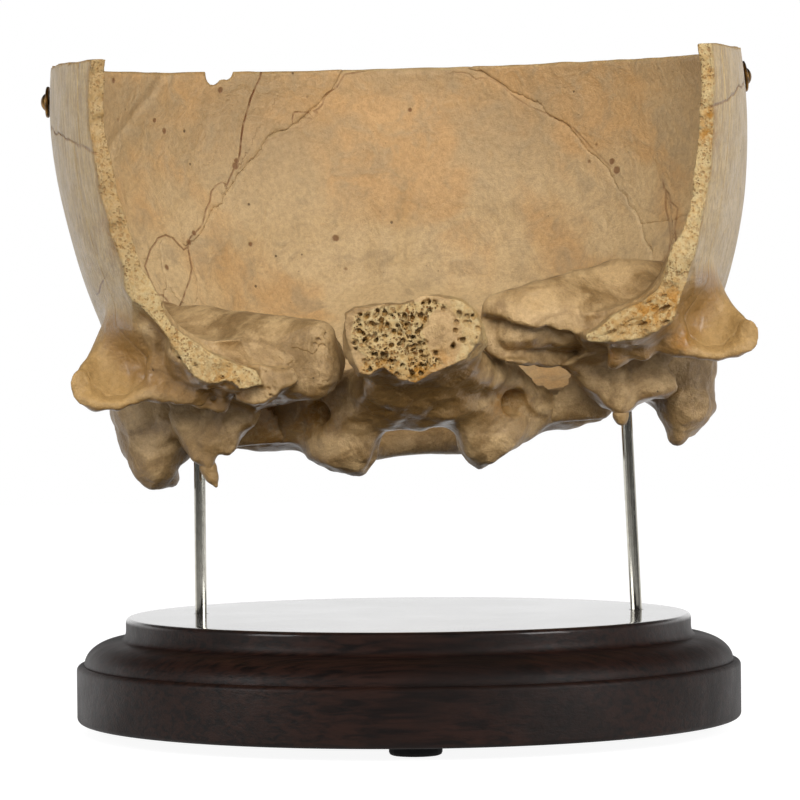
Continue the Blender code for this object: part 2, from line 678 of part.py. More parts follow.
def styloid_axis(side):
    start = landmark("styloid_top", SIDES[side])
    way = (landmark("tympanic_foot", SIDES[side]) - start).normalized()
    return start, way


def make_temporal(side, parts, cutters, skull, shared, clearances):
    """One temporal bone, its socket for the rod and its sheath for the styloid process."""
    sign = SIDES[side]
    name = "temporal_bone_" + side
    squamous = seam("squamous", 0.0, -1.0)
    rear = seam("mastoid_" + side, 1.0, 0.0)[::-1]
    rear[-1] = (rear[-1][0], squamous[0][1])
    top = [rear[-1]] + squamous[1:]
    rear[0] = (rear[0][0], TEMPORAL_FOOT_SHARE)
    front = [(PATCH_FRONT_AZIMUTH, TEMPORAL_FOOT_SHARE), top[-1]]
    foot = [rear[0], front[0]]
    lines = [[(sign * azimuth, level) for azimuth, level in line] for line in (foot, top, rear, front)]
    bone = add_object(name, patch_mesh(name, *lines, pitch_line=SEAM_SHARES["squamous"]), parts, skull)
    shell(bone, TEMPORAL_WALL)
    for form in temporal_forms(side, cutters, skull):
        boolean(bone, form, "UNION")
    start, way = styloid_axis(side)
    length = (landmark("tympanic_foot", sign) - start).length
    mesh = disc_mesh("styloid_hole_" + side, STYLOID_RADIUS + GAP, length + OVERRUN, ROD_SIDES)
    hole = as_cutter(add_object("styloid_hole_" + side, mesh, cutters, skull))
    hole.matrix_local = along(start - way * GAP, way)
    boolean(bone, hole, "DIFFERENCE")
    boolean(bone, shared["rod_socket_" + side], "DIFFERENCE")
    for form in clearances:
        boolean(bone, form, "DIFFERENCE")
    boolean(bone, shared["front_cut"], "DIFFERENCE")
    if side == "right":
        boolean(bone, shared["sutural_hole"], "DIFFERENCE")
    set_material(bone, "bone")


def make_styloids(parts, skull):
    for side in SIDES:
        length = RIGHT_STYLOID_LENGTH if side == "right" else LEFT_STYLOID_LENGTH
        profile = [(0.0, length)]
        profile += [(STYLOID_RADIUS * wide, length * high) for high, wide in reversed(STYLOID_TIP_SHARES)]
        profile.append((0.0, 0.0))
        item = turned_object("styloid_process_" + side, profile, ROD_SIDES, parts, skull)
        item.matrix_local = along(*styloid_axis(side))
        set_material(item, "styloid")


def make_sutural(parts, cutters, skull):
    """The small separate bone in the seam, cut from its own piece of the wall."""
    reach = math.degrees(2 * SUTURAL_HALF_WIDTH / HALF_BREADTH)
    rise = 2 * SUTURAL_HALF_HEIGHT / VAULT_DEPTH
    azimuths = (SUTURAL_AZIMUTH - reach, SUTURAL_AZIMUTH + reach)
    levels = (SUTURAL_LEVEL_SHARE - rise, SUTURAL_LEVEL_SHARE + rise)
    foot, top = ([(azimuth, level) for azimuth in azimuths] for level in levels)
    start, end = ([(azimuth, level) for level in levels] for azimuth in azimuths)
    bone = add_object("sutural_bone", patch_mesh("sutural_bone", foot, top, start, end), parts, skull)
    shell(bone, OCCIPITAL_WALL)
    prism = oval_prism("sutural_outline", SUTURAL_AZIMUTH, SUTURAL_LEVEL_SHARE, SUTURAL_HALF_WIDTH,
                       SUTURAL_HALF_HEIGHT, cutters, skull)
    boolean(bone, prism, "INTERSECT")
    set_material(bone, "bone")


def pin_seat(side):
    """Where a pin enters the side wall, below the saw cut, and the outward direction there."""
    sign = SIDES[side]
    drop = RIGHT_PIN_DROP if side == "right" else LEFT_PIN_DROP
    height = saw_level(sign * HALF_BREADTH, place(VAULT_CENTRE_SHARES, 1).y) - drop
    level = (height - place(VAULT_CENTRE_SHARES, 1).z) / VAULT_DEPTH
    return vault_point(sign * PIN_AZIMUTH, level), outward(sign * PIN_AZIMUTH, level)


def make_pins(parts, skull):
    """A domed brass pin through a washer on each side wall."""
    under_head = 2 * GAP + WASHER_THICKNESS
    for side in SIDES:
        profile = [(0.0, under_head + PIN_HEAD_HEIGHT)]
        profile += arc((0.0, under_head), (PIN_HEAD_RADIUS, PIN_HEAD_HEIGHT), 66, 0, 3)
        profile += [(PIN_SHANK_RADIUS, under_head), (PIN_SHANK_RADIUS, PIN_SHANK_RADIUS - PIN_DEPTH),
                    (0.0, -PIN_DEPTH)]
        pin = turned_object("hook_screw_" + side, profile, ROD_SIDES, parts, skull)
        bore = PIN_SHANK_RADIUS + GAP
        rim = [(bore, WASHER_THICKNESS), (WASHER_RADIUS, WASHER_THICKNESS), (WASHER_RADIUS, 0.0), (bore, 0.0)]
        washer = turned_object("hook_washer_" + side, rim, PAD_SIDES, parts, skull, ring=True)
        seat = along(*pin_seat(side))
        pin.matrix_local = seat
        washer.matrix_local = seat @ Matrix.Translation((0.0, 0.0, GAP))
        set_material(pin, "brass")
        set_material(washer, "brass")


def shared_cutters(cutters, skull, top, skull_matrix):
    """The saw cuts, foramen, canals and sockets that more than one bone may meet."""
    shared = {}
    slope = Vector((math.tan(SAW_ROLL), -math.tan(SAW_PITCH), 1.0)).normalized()
    shared["saw_cut"] = half_space("saw_cut", Vector((0.0, 0.0, saw_level(0.0, 0.0))), slope, cutters, skull)
    shared["front_cut"] = half_space("front_cut", Vector((0.0, -FRONT_CUT, 0.0)), Vector((0.0, -1.0, 0.0)),
                                     cutters, skull)
    form = bmesh.new()
    bmesh.ops.create_cone(form, cap_ends=True, segments=2 * LOFT_SIDES, radius1=1.0, radius2=1.0, depth=1.0)
    bmesh.ops.scale(form, vec=(FORAMEN_HALF_WIDTH, FORAMEN_HALF_LENGTH, SKULL_FLOOR), verts=form.verts)
    mesh = bpy.data.meshes.new("foramen")
    form.to_mesh(mesh)
    form.free()
    shared["foramen"] = as_cutter(add_object("foramen", mesh, cutters, skull))
    shared["foramen"].location = landmark("foramen", 1)
    for side, sign in SIDES.items():
        start, end = landmark("canal_inner", sign), landmark("canal_outer", sign)
        mesh = disc_mesh("canal_" + side, CANAL_RADIUS, (end - start).length, ROD_SIDES)
        shared["canal_" + side] = as_cutter(add_object("canal_" + side, mesh, cutters, skull))
        shared["canal_" + side].matrix_local = along(start, (end - start).normalized())
        mesh = disc_mesh("rod_socket_" + side, ROD_RADIUS + LEAN_CLEARANCE, SKULL_RISE, ROD_SIDES)
        socket = as_cutter(add_object("rod_socket_" + side, mesh, cutters))
        seat = rod_seat(side, top, skull_matrix)
        socket.location = seat + Vector((0.0, 0.0, GAP - SKULL_RISE))
        shared["rod_socket_" + side] = socket
    shared["sutural_hole"] = oval_prism("sutural_hole", SUTURAL_AZIMUTH, SUTURAL_LEVEL_SHARE,
                                        SUTURAL_HALF_WIDTH + SUTURE_GAP / 2,
                                        SUTURAL_HALF_HEIGHT + SUTURE_GAP / 2, cutters, skull)
    return shared


def build():
    clear_scene()
    parts = new_collection("partial_skull_on_stand")
    cutters = new_collection("cutters")
    top = make_base(parts, cutters)
    skull = bpy.data.objects.new("skull_frame", None)
    parts.objects.link(skull)
    skull.location = (SKULL_OFFSET_X, SKULL_OFFSET_Y, top + SKULL_RISE)
    skull.rotation_euler = Euler((0.0, SKULL_ROLL, SKULL_TURN), "XYZ")
    bpy.context.view_layer.update()
    skull_matrix = skull.matrix_world.copy()
    make_rods(parts, top, skull_matrix)
    make_feet(parts)
    shared = shared_cutters(cutters, skull, top, skull_matrix)
    make_occipital(parts, cutters, skull, shared)
    clearances = occipital_forms(cutters, skull, BONE_CLEARANCE)
    rim_mesh = occipital_patch("plate_clearance", BONE_CLEARANCE)
    rim = add_object("occipital_plate_clearance", rim_mesh, cutters, skull)
    shell(as_cutter(rim), OCCIPITAL_WALL, BONE_CLEARANCE)
    for side in SIDES:
        make_parietal(side, parts, cutters, skull, shared, rim)
        make_temporal(side, parts, cutters, skull, shared, clearances + [rim])
    make_styloids(parts, skull)
    make_sutural(parts, cutters, skull)
    make_pins(parts, skull)
    bpy.context.view_layer.update()


build()
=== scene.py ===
import math

import bpy
import numpy as np
import openvdb
from mathutils import Euler, Matrix, Vector


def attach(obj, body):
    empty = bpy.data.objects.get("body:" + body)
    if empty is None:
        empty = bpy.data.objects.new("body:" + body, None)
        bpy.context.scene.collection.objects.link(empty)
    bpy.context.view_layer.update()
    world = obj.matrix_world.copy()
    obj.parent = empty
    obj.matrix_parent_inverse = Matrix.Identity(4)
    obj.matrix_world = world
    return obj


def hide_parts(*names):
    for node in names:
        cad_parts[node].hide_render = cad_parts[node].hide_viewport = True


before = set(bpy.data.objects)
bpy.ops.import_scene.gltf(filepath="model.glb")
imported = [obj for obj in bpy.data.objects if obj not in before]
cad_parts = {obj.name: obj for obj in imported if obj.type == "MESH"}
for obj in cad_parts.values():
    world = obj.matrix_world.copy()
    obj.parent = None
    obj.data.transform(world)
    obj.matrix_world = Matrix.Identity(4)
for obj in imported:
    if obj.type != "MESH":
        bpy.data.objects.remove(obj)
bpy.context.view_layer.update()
scene = bpy.context.scene
print("frame loaded")

# The skull's own frame, in millimetres: X to its left, Y to the back, Z up, origin between the ear openings
seat = {"place": (1.5, -2.0, 74.0), "turn": (0.0, math.radians(-3.7), math.radians(1.5))}
skullToWorld = Matrix.Translation(seat["place"]) @ Euler(seat["turn"]).to_matrix().to_4x4()


# Fields are arrays that are negative inside a form, as distances in millimetres

def axesOf(low, high, step):
    lines = [np.arange(round(a / step), round(b / step) + 1, dtype=np.float32) * np.float32(step)
             for a, b in zip(low, high)]
    return [lines[0][:, None, None], lines[1][None, :, None], lines[2][None, None, :]]


def join(a, b, width=0.0):
    # union, rounded over width: min(a, b) - h h width / 4 with h = max(0, 1 - |a - b| / width)
    if not width:
        return np.minimum(a, b)
    h = np.maximum(1 - np.abs(a - b) / width, 0)
    return np.minimum(a, b) - h * h * (width / 4)


def meet(a, b, width=0.0):
    return -join(-a, -b, width)


def carve(a, b, width=0.0):
    return meet(a, -b, width)


def step01(low, high, value):
    t = np.clip((value - low) / (high - low), 0, 1)
    return t * t * (3 - 2 * t)


def limb(p, start, end, startRadius, endRadius, flat=None):
    # distance to the segment start-end less a radius that changes along it; flat = (direction, times thinner)
    rest = [p[i] - start[i] for i in range(3)]
    run = [end[i] - start[i] for i in range(3)]
    t = np.clip(sum(rest[i] * run[i] for i in range(3)) / sum(r * r for r in run), 0, 1)
    off = [rest[i] - t * run[i] for i in range(3)]
    square = off[0] ** 2 + off[1] ** 2 + off[2] ** 2
    if flat:
        length = math.sqrt(sum(n * n for n in flat[0]))
        square = square + (flat[1] ** 2 - 1) * (sum(off[i] * flat[0][i] for i in range(3)) / length) ** 2
    return np.sqrt(square) - (startRadius + (endRadius - startRadius) * t)


def chain(p, knots, width=0.0, flat=None):
    # limbs through a row of (x, y, z, radius)
    form = None
    for a, b in zip(knots[:-1], knots[1:]):
        piece = limb(p, a[:3], b[:3], a[3], b[3], flat)
        form = piece if form is None else join(form, piece, width)
    return form


def egg(p, centre, radii, turn=None):
    # ellipsoid: k (k - 1) / g with k = |q / radii| and g = |q / radii^2|
    q = [p[i] - centre[i] for i in range(3)]
    if turn:
        m = Euler([math.radians(a) for a in turn]).to_matrix().transposed()
        q = [sum(m[i][j] * q[j] for j in range(3)) for i in range(3)]
    k = np.sqrt(sum((q[i] / radii[i]) ** 2 for i in range(3)))
    g = np.sqrt(sum((q[i] / radii[i] ** 2) ** 2 for i in range(3))) + 1e-6
    return k * (k - 1) / g


def lineDistance(u, v, points):
    # distance in a plane to an open row of points
    best = None
    for (ax, ay), (bx, by) in zip(points[:-1], points[1:]):
        dx, dy = bx - ax, by - ay
        t = np.clip(((u - ax) * dx + (v - ay) * dy) / (dx * dx + dy * dy), 0, 1)
        d = (u - ax - t * dx) ** 2 + (v - ay - t * dy) ** 2
        best = d if best is None else np.minimum(best, d)
    return np.sqrt(best)


def outline(u, v, points):
    # signed distance in a plane to a closed outline, negative inside; a crossing count gives the sign
    closed = list(points) + [points[0]]
    distance = lineDistance(u, v, closed)
    inside = np.zeros(np.broadcast(u, v).shape, bool)
    for (ax, ay), (bx, by) in zip(closed[:-1], closed[1:]):
        if ay != by:
            inside ^= ((v < ay) != (v < by)) & (u < ax + (v - ay) * (bx - ax) / (by - ay))
    return np.where(inside, -distance, distance).astype(np.float32)


def slab(p, points, near, far, width=1.5, lean=0.0):
    # an outline in X and Z, drawn out along Y from near to far
    middle, half = (near + far) / 2, (far - near) / 2
    if lean:
        return meet(outline(p[0] + lean * (p[1] - middle), p[2], points), np.abs(p[1] - middle) - half, width)
    return meet(outline(p[0], p[2], points), np.abs(p[1] - middle) - half, width)


def bubbles(p, spots, stretch=(1, 1, 1), lean=0.0):
    # union of many small balls (x, y, z, radius), each worked out only in the cells near it
    field = np.full([len(p[i].ravel()) for i in range(3)], 9.0, np.float32)
    lines = [p[i].ravel() for i in range(3)]
    for x, y, z, radius in spots:
        reach = [radius * s + 1.2 for s in stretch]
        reach[2] += lean * radius * stretch[0]
        ends = [np.searchsorted(line, (c - r, c + r)) for line, c, r in zip(lines, (x, y, z), reach)]
        if all(b > a for a, b in ends):
            u, v, w = [line[a:b] - c for line, c, (a, b) in zip(lines, (x, y, z), ends)]
            w = w[None, None, :] - lean * u[:, None, None]
            d = np.sqrt((u[:, None, None] / stretch[0]) ** 2 + (v[None, :, None] / stretch[1]) ** 2
                        + (w / stretch[2]) ** 2) - radius
            window = tuple(slice(a, b) for a, b in ends)
            field[window] = np.minimum(field[window], d * min(stretch))
    return field


def scatter(seed, count, low, high, radii, inside=None):
    # random places in a box with random radii, more small ones than large; inside = outline in X and Z
    random = np.random.default_rng(seed)
    spots = random.uniform(low, high, (count, 3))
    sizes = radii[0] + (radii[1] - radii[0]) * random.random(count) ** 2.2
    if inside is not None:
        keep = outline(spots[:, 0], spots[:, 2], inside) < 0
        spots, sizes = spots[keep], sizes[keep]
    return [(*spot, size) for spot, size in zip(spots, sizes)]


def splineWeights(places, size, first, count):
    # rows of cubic B-spline weights for lattice points first ... first + count - 1, spaced by size
    s = places / size
    base = np.floor(s).astype(int)
    t = (s - base).astype(np.float32)
    rows = np.zeros((len(places), count), np.float32)
    four = [(1 - t) ** 3, 3 * t ** 3 - 6 * t ** 2 + 4, -3 * t ** 3 + 3 * t ** 2 + 3 * t + 1, t ** 3]
    for i, w in enumerate(four):
        rows[np.arange(len(places)), base - 1 + i - first] = w / 6
    return rows


def cloud(p, size, seed):
    # smooth random field of about -1 to 1, the same wherever it is read
    reach = int(120 / size) + 4
    lattice = np.random.default_rng(seed).uniform(-3, 3, (2 * reach + 1,) * 3).astype(np.float32)
    if p[0].ndim == 3:
        parts = []
        for i in range(3):
            line = p[i].ravel()
            low, high = int(math.floor(line.min() / size)) - 2, int(math.floor(line.max() / size)) + 4
            parts.append((slice(low + reach, high + reach), splineWeights(line, size, low, high - low)))
        lattice = lattice[parts[0][0], parts[1][0], parts[2][0]]
        field = np.tensordot(parts[2][1], lattice, (1, 2))
        field = np.tensordot(parts[1][1], field, (1, 2))
        return np.tensordot(parts[0][1], field, (1, 2))
    base = [np.floor(q / size).astype(int) for q in p]
    total = 0
    weights = []
    for q, b in zip(p, base):
        t = q / size - b
        weights.append([(1 - t) ** 3 / 6, (3 * t ** 3 - 6 * t ** 2 + 4) / 6,
                        (-3 * t ** 3 + 3 * t ** 2 + 3 * t + 1) / 6, t ** 3 / 6])
    at = [[b - 1 + i + reach for i in range(4)] for b in base]
    for i, j, k in np.ndindex(4, 4, 4):
        corner = lattice[at[0][i], at[1][j], at[2][k]]
        total = total + corner * weights[0][i] * weights[1][j] * weights[2][k]
    return total


# The braincase wall

vault = {
    "centre": (0.0, 27.0, 47.0), "halfBreadth": 71.8, "rightBreadth": 70.7, "front": 88.0, "back": 70.5,
    "depth": 90.0, "saw": (58.3, -0.0454, 0.0577), "frontCut": -20.0, "floorMiddle": -24.0,
    "floorSide": -17.6, "floorFront": 0.5, "nuchalStart": 53.0, "nuchalSlope": 0.66,
    "nuchalLine": [(-45, 6), (-22, 13), (0, 17), (22, 13), (45, 6)],
    "crest": [(0, 46), (-0.6, 36), (-1.2, 24), (-2, 10), (-1, 0), (0, -14)],
    "crossRidge": [(-40, 27), (-22, 33), (0, 36), (22, 34), (42, 30)],
    "hollows": ((-24, 14, 1.5), (22, 14, 1.5), (-26, 52, 1.2), (24, 52, 1.2)),
    "vessel": [(-48, 64), (-50.6, 59.9), (-54.8, 55), (-59.5, 49), (-61, 44)],
    "basalSeam": [(80, 60), (60, 46), (53.5, 40), (48.4, 32.5), (40, 27), (33, 21), (29, 15), (22, 8),
                  (14.3, -6), (13.6, -30)],
}
seams = {
    -1: {
        "mastoid": [(-0.93, 104), (-0.86, 92), (-0.76, 84), (-0.64, 76), (-0.53, 68), (-0.40, 60),
                    (-0.267, 53), (-0.211, 43.9), (-0.076, 32.4), (0.012, 24.6), (0.11, 12), (0.29, 1)],
    },
    1: {
        "mastoid": [(-0.93, 104), (-0.86, 92), (-0.76, 84), (-0.64, 76), (-0.53, 68), (-0.40, 61),
                    (-0.267, 55), (-0.15, 48.1), (-0.067, 42), (0.058, 31.4), (0.126, 23.6), (0.29, 4)],
    },
    "squamous": [(54, -0.267), (70, -0.255), (83, -0.235), (89, -0.09), (98, 0.02), (110, 0.0),
                 (124.5, -0.067), (137, -0.11)],
}
lap = 0.3
sutural = {"azimuth": -50.5, "level": -0.295, "halfWidth": 5.2, "halfHeight": 8.0}


def vaultPlaces(p):
    # azimuth in degrees from the middle of the back, and level above the widest ring
    cx, cy, cz = vault["centre"]
    length = np.where(p[1] > cy, vault["back"], vault["front"])
    azimuth = np.degrees(np.arctan2((p[0] - cx) / vault["halfBreadth"], (p[1] - cy) / length))
    return azimuth, (p[2] - cz) / vault["depth"]


def shell(p):
    # (outer distance, wall thickness) of the braincase and the floor behind the ears
    x, y, z = p
    cx, cy, cz = vault["centre"]
    length = np.where(y > cy, vault["back"], vault["front"])
    shift = cx + 1.2 * step01(52, 25, z) * step01(-5, 20, y)
    upper = step01(28, 50, z)
    breadth = np.where(x < 0, vault["rightBreadth"] - 0.3 * upper, vault["halfBreadth"] + 0.9 * upper)
    u, v, w = (x - shift) / breadth, (y - cy) / length, (z - cz) / vault["depth"]
    k = np.sqrt(u * u + v * v + w * w)
    g = np.sqrt((u / breadth) ** 2 + (v / length) ** 2 + (w / vault["depth"]) ** 2) + 1e-6
    outer = k * (k - 1) / g
    across = np.abs(x)
    beside = np.maximum(step01(10, 21, across), step01(50, 64, y))
    floor = vault["floorMiddle"] + (vault["floorSide"] - vault["floorMiddle"]) * beside
    floor = floor + 4.2 * step01(38, 43, x) * step01(45, 30, y)
    front = step01(4, 14, y)
    floor = vault["floorFront"] * (1 - front) + floor * front
    rise = y - vault["nuchalStart"]
    floor = floor + vault["nuchalSlope"] * (rise + np.sqrt(rise * rise + 30)) / 2
    outer = meet(outer, (floor - z) * 0.85, 9)
    # lumps outside: the protuberance and a nuchal line
    back = step01(60, 80, y)
    line = lineDistance(x, z, vault["nuchalLine"])
    outer = outer - 1.3 * back * np.exp(-(line / 3.5) ** 2)
    # inside: crest, cross ridges and grooves, and the four hollows of the back wall
    crest = lineDistance(x, z, vault["crest"])
    ridgeLine = lineDistance(x, z, vault["crossRidge"])
    wall = 2.7 + 1.0 * step01(-22, 24, y) + 2.2 * step01(40, 75, y) + 0.6 * step01(0, -22, z)
    wall = wall + back * (1.5 * np.exp(-(crest / 4.2) ** 2) + 1.2 * np.exp(-(crest / 10) ** 2)
                          + 0.8 * np.exp(-(ridgeLine / 6) ** 2))
    for hx, hz, hollow in vault["hollows"]:
        wall = wall - hollow * back * np.exp(-((x - hx) / 16) ** 2 - ((z - hz) / 12) ** 2)
    vessel = lineDistance(x, z, vault["vessel"])
    wall = wall - 0.55 * np.exp(-(vessel / 0.7) ** 2) * step01(45, 55, y)
    wall = wall + 0.35 * cloud(p, 9.0, 11) + 0.12 * cloud(p, 3.0, 12)
    return outer, wall


def basalSide(p):
    # below the ear the seam runs in to the tip of the petrous bone; positive on the occipital bone's side
    plan = vault["basalSeam"]
    inside = outline(np.abs(p[0]), p[1], [(-5, -40)] + plan[::-1] + [(80, 120), (-5, 120)])
    return -np.sign(inside) * lineDistance(np.abs(p[0]), p[1], plan) + 0.4 * cloud(p, 4.0, 21)


def seamFields(p, side):
    # (towards the occipital bone, towards the parietal bone) in millimetres along the wall
    azimuth, level = vaultPlaces(p)
    levels, azimuths = zip(*seams[side]["mastoid"])
    edge = np.interp(level, levels, azimuths)
    turn = 0.95 * np.sqrt(np.clip(1 - level ** 2, 0.2, 1))
    wobble = 1.0 * cloud(p, 4.0, 21) + 0.55 * cloud(p, 1.7, 22)
    behind = (edge - np.abs(azimuth)) * turn + wobble
    azimuths, levels = zip(*seams["squamous"])
    above = (p[2] - vault["centre"][2] - vault["depth"] * np.interp(np.abs(azimuth), azimuths, levels)) * 0.8
    above = above + 0.7 * cloud(p, 5.0, 23) + 0.3 * cloud(p, 1.8, 24)
    low = step01(4, -6, p[2])
    return behind * (1 - low) + basalSide(p) * low, above


def suturalField(p):
    azimuth, level = vaultPlaces(p)
    turn = 1.25 * math.sqrt(1 - sutural["level"] ** 2)
    u = (azimuth - sutural["azimuth"]) * turn / sutural["halfWidth"]
    v = (level - sutural["level"]) * vault["depth"] / sutural["halfHeight"]
    return (np.sqrt(u * u + v * v + 0.02) - 1) * 5.6 + 0.5 * cloud(p, 2.6, 31) + 0.3 * cloud(p, 1.4, 32)


def cuts(p):
    # the saw cut at the rim, with its chips, and the broken front edge
    x, y, z = p
    a, b, c = vault["saw"]
    top = z - (a + b * x + c * y) + 0.12 * cloud(p, 3.0, 41)
    chip = egg(p, (-37.0, 83.0, 64.6), (2.1, 9.0, 3.4), (0, 25, 0))
    chip = join(chip, egg(p, (-34.5, 83.0, 64.9), (1.5, 9.0, 2.2)), 0.6)
    top = np.maximum(top, -chip)
    rough = 0.75 * cloud(p, 6.0, 42) + 0.4 * cloud(p, 2.2, 43) + 0.3 * cloud(p, 1.1, 44)
    return top, vault["frontCut"] - y + rough


# Temporal bones, drawn for the skull's left side; the right one is read mirrored.
# strip, shelf, cells, slot and pits are places of holes, as they lie on each side

temporal = {
    -1: {
        "floor": [(54.6, 15.5), (51.4, 10.1), (48, 5.0), (45.3, 1.0), (43.5, -3.0), (40.9, -4.0),
                  (37.2, -3.5), (34.7, -5.8), (30, -5.6), (31.5, -2.4), (35.6, -1.1), (39.5, 0.8),
                  (42.7, 3.0), (46.9, 7.3), (49.5, 11.5), (52.2, 16.5)],
        "ribs": [[(62.0, -1, 2.6, 3.2), (64.6, -7, -1.4, 3.0), (65.8, -14, -2.9, 3.5)],
                 [(59.5, -3, 6, 2.8), (60.8, -5.5, -0.5, 2.4), (63.2, -12.4, -6.2, 1.3)],
                 [(57.5, -6, 8, 2.8), (58.4, -4.1, 0.3, 2.3), (59, -12, -6.3, 1.3)],
                 [(54.8, -10, 8, 2.4), (54.8, -6.6, 0.3, 2.3), (55.5, -11.8, -5.4, 1.3)],
                 [(51, -14.5, 6, 1.9), (50.5, -10.6, -0.7, 1.9), (51, -10.9, -5.3, 1.3)],
                 [(46.5, -17, 2, 1.8), (46.5, -11.6, -2.2, 1.9), (47, -9.9, -6.2, 1.3)],
                 [(42, -17, -1.5, 1.8), (42.5, -11.1, -4.2, 2), (43.2, -9.2, -8.4, 1.2)],
                 [(37, -16, -3.4, 1.7), (37.5, -9.6, -5.2, 2), (38.8, -8.2, -8.8, 1.2)]],
        "under": ((45, 15, -8.5), (12, 9, 8.5)),
        "petrous": [(50, 15, 0.3, 11.3), (43, 8, 0.2, 10.0), (31, 0.5, -1.0, 8.2), (21.6, -5.5, -1.6, 7.6)],
        "ridge": [(51, 9, 8.6, 2.4), (41, 5.5, 7.6, 2.3), (34, 2, 6.4, 2.2), (25, -4, 4.6, 2.2),
                  (18, -8.4, 3.8, 2.3)],
        "mastoid": [(52, 26, 4, 9.5), (52.8, 20, -7, 9.0), (52.6, 16, -18, 6.0), (53.6, 15, -21.0, 3.4)],
        "lobe": [(52.5, 17, -17, 4.5), (49.4, 16.5, -22.0, 2.6)],
        "tympanic": [(52, -5), (49.5, -12), (46.5, -17.3), (45.3, -19.7), (42.9, -22), (41.5, -20.6),
                     (40.1, -18.9), (38.3, -19.4), (36.4, -18.3), (35.7, -15.8), (34.4, -14.6),
                     (32.6, -13.6), (31, -8), (36, -4)],
        "sheath": [(41.8, 0.5, -10, 2.0), (42.3, 1.6, -16, 2.3), (42.7, 2.6, -20.2, 1.5)],
        "frontForm": [(36, -4.4), (32.6, -1.4), (28.6, -1.7), (24.1, -2.3), (22.8, -5.2), (23.9, -6.2),
                      (26.7, -6.9), (30.5, -9.5), (32.4, -9.8), (36, -8)],
        "strip": [(-55, 9.5), (-52, 10), (-47.5, 4), (-43, 0.5), (-38, -1.6), (-33, -3.6), (-33.5, -5.4),
                  (-38, -4.4), (-43, -2.8), (-48, 1.5), (-52, 5.5)],
        "shelf": [(-35.5, -4.4), (-32.6, -2), (-28.6, -2.2), (-25, -3), (-24, -5.6), (-27, -6.4),
                  (-30.5, -8.6)],
        "pits": [(-17.1, 3.1, 0.6), (-16.2, 4.3, 0.5), (-18.2, 1.0, 0.65), (-18.8, 2.5, 0.45),
                 (-17.3, -0.8, 0.45), (-18.9, -0.9, 0.4), (-18.3, -5.8, 0.4), (-19.6, 1.6, 0.4),
                 (-16.4, 1.4, 0.4), (-37.2, 1.6, 0.35), (-36.4, 1.5, 0.4), (-35.6, 1.3, 0.3),
                 (-27.5, 0.5, 0.25), (-30.5, 4.5, 0.2)],
    },
    1: {
        "floor": [(54.6, 16), (53.5, 8.4), (50.5, 2), (46.8, -0.6), (42, -1.9), (38.2, -1.7), (33.2, -1.4),
                  (31.3, 0), (35.4, 0.6), (39.1, 2.9), (44.4, 5.0), (47.6, 7.3), (49.9, 10.7), (52, 15)],
        "ribs": [[(61.8, -1, 2.6, 3.2), (64.0, -7, -1.2, 3.0), (65.6, -14, -2.5, 3.4)],
                 [(59.5, -3, 6, 2.8), (60.8, -5.5, 0, 2.4), (62.8, -12.4, -4.9, 1.3)],
                 [(57.5, -6, 8, 2.8), (58.4, -4.1, 0.8, 2.3), (59, -12, -5.4, 1.3)],
                 [(55, -10, 8, 2.4), (55, -6.6, 0.8, 2.3), (55.8, -11.8, -4.8, 1.3)],
                 [(52.5, -14.5, 6, 1.9), (52, -10.6, 0.3, 1.9), (52, -10.9, -3.8, 1.3)],
                 [(48.5, -17, 2, 1.8), (48.5, -11.6, 0, 1.9), (48.5, -9.9, -3.1, 1.3)],
                 [(44, -17, 0.2, 1.8), (44.5, -11.1, -1, 2), (44.6, -9.2, -4.1, 1.2)],
                 [(40, -16, -0.4, 1.7), (40, -9.6, -2.2, 2), (39.4, -8.2, -6.1, 1.3)]],
        "under": ((46, 15, -5.5), (12, 9, 8.0)),
        "petrous": [(50, 15, 3.0, 11.0), (43, 8, 3.2, 10.0), (31, 0.5, 2.0, 7.8), (19.6, -5.2, 1.8, 6.5)],
        "ridge": [(52, 9, 10.4, 2.3), (42, 5, 11.2, 2.2), (34, 1, 10.4, 2.0), (25, -4, 8.6, 2.0),
                  (16.4, -8, 6.9, 1.9)],
        "mastoid": [(52.5, 26, 4, 9.5), (53.8, 20, -6, 8.9), (54.9, 16, -15.5, 4.8),
                    (53.0, 15, -22.0, 1.9)],
        "lobe": [(54, 17, -13, 5.2), (55.2, 16, -18.4, 3.2)],
        "tympanic": [(54, -5), (52.8, -12.9), (50.1, -13.7), (46.6, -13.9), (44.1, -14.8), (42.2, -16.4),
                     (39.5, -16.4), (37.6, -14.8), (33.7, -10.6), (31.5, -7), (34, -3), (44, -2)],
        "sheath": [(41.2, 0.5, -8, 1.6), (41.0, 1.2, -12, 2.0), (40.6, 1.8, -15.2, 1.4)],
        "frontForm": [(13, 5.2), (16.2, 4.3), (19.4, 3.3), (22.7, 1.9), (26, 1.9), (28.8, 0.9),
                      (32.5, 0.3), (33.5, -3.2), (30.4, -4.6), (25.5, -5.6), (18, -4.2), (13, -2.5)],
        "cells": [(37.5, -0.8), (41, 2.2), (45, 4.2), (49.5, 8.5), (52.5, 8.0), (51.5, 3), (48, -0.6),
                  (43, -1.8)],
        "strip": [(34, -1.4), (39, 0.6), (44, 3.2), (50, 8), (51, 6), (45, 0), (36, -1.8)],
        "slot": [(61.3, -20.5, 41.6, 0.35), (60.4, -20.5, 38.5, 0.55), (59.5, -20.5, 34.8, 0.5),
                 (58.2, -20.5, 31.6, 0.3)],
        "pits": [(25.1, 6.3, 0.5), (23.8, 6.0, 0.35), (25.8, 5.4, 0.35), (24.3, 5.2, 0.3),
                 (24.6, 2.6, 0.25), (22.6, -2.9, 0.35), (20.3, -4.0, 0.3), (18.4, -2.2, 0.3),
                 (30.0, -1.0, 0.3)],
    },
}


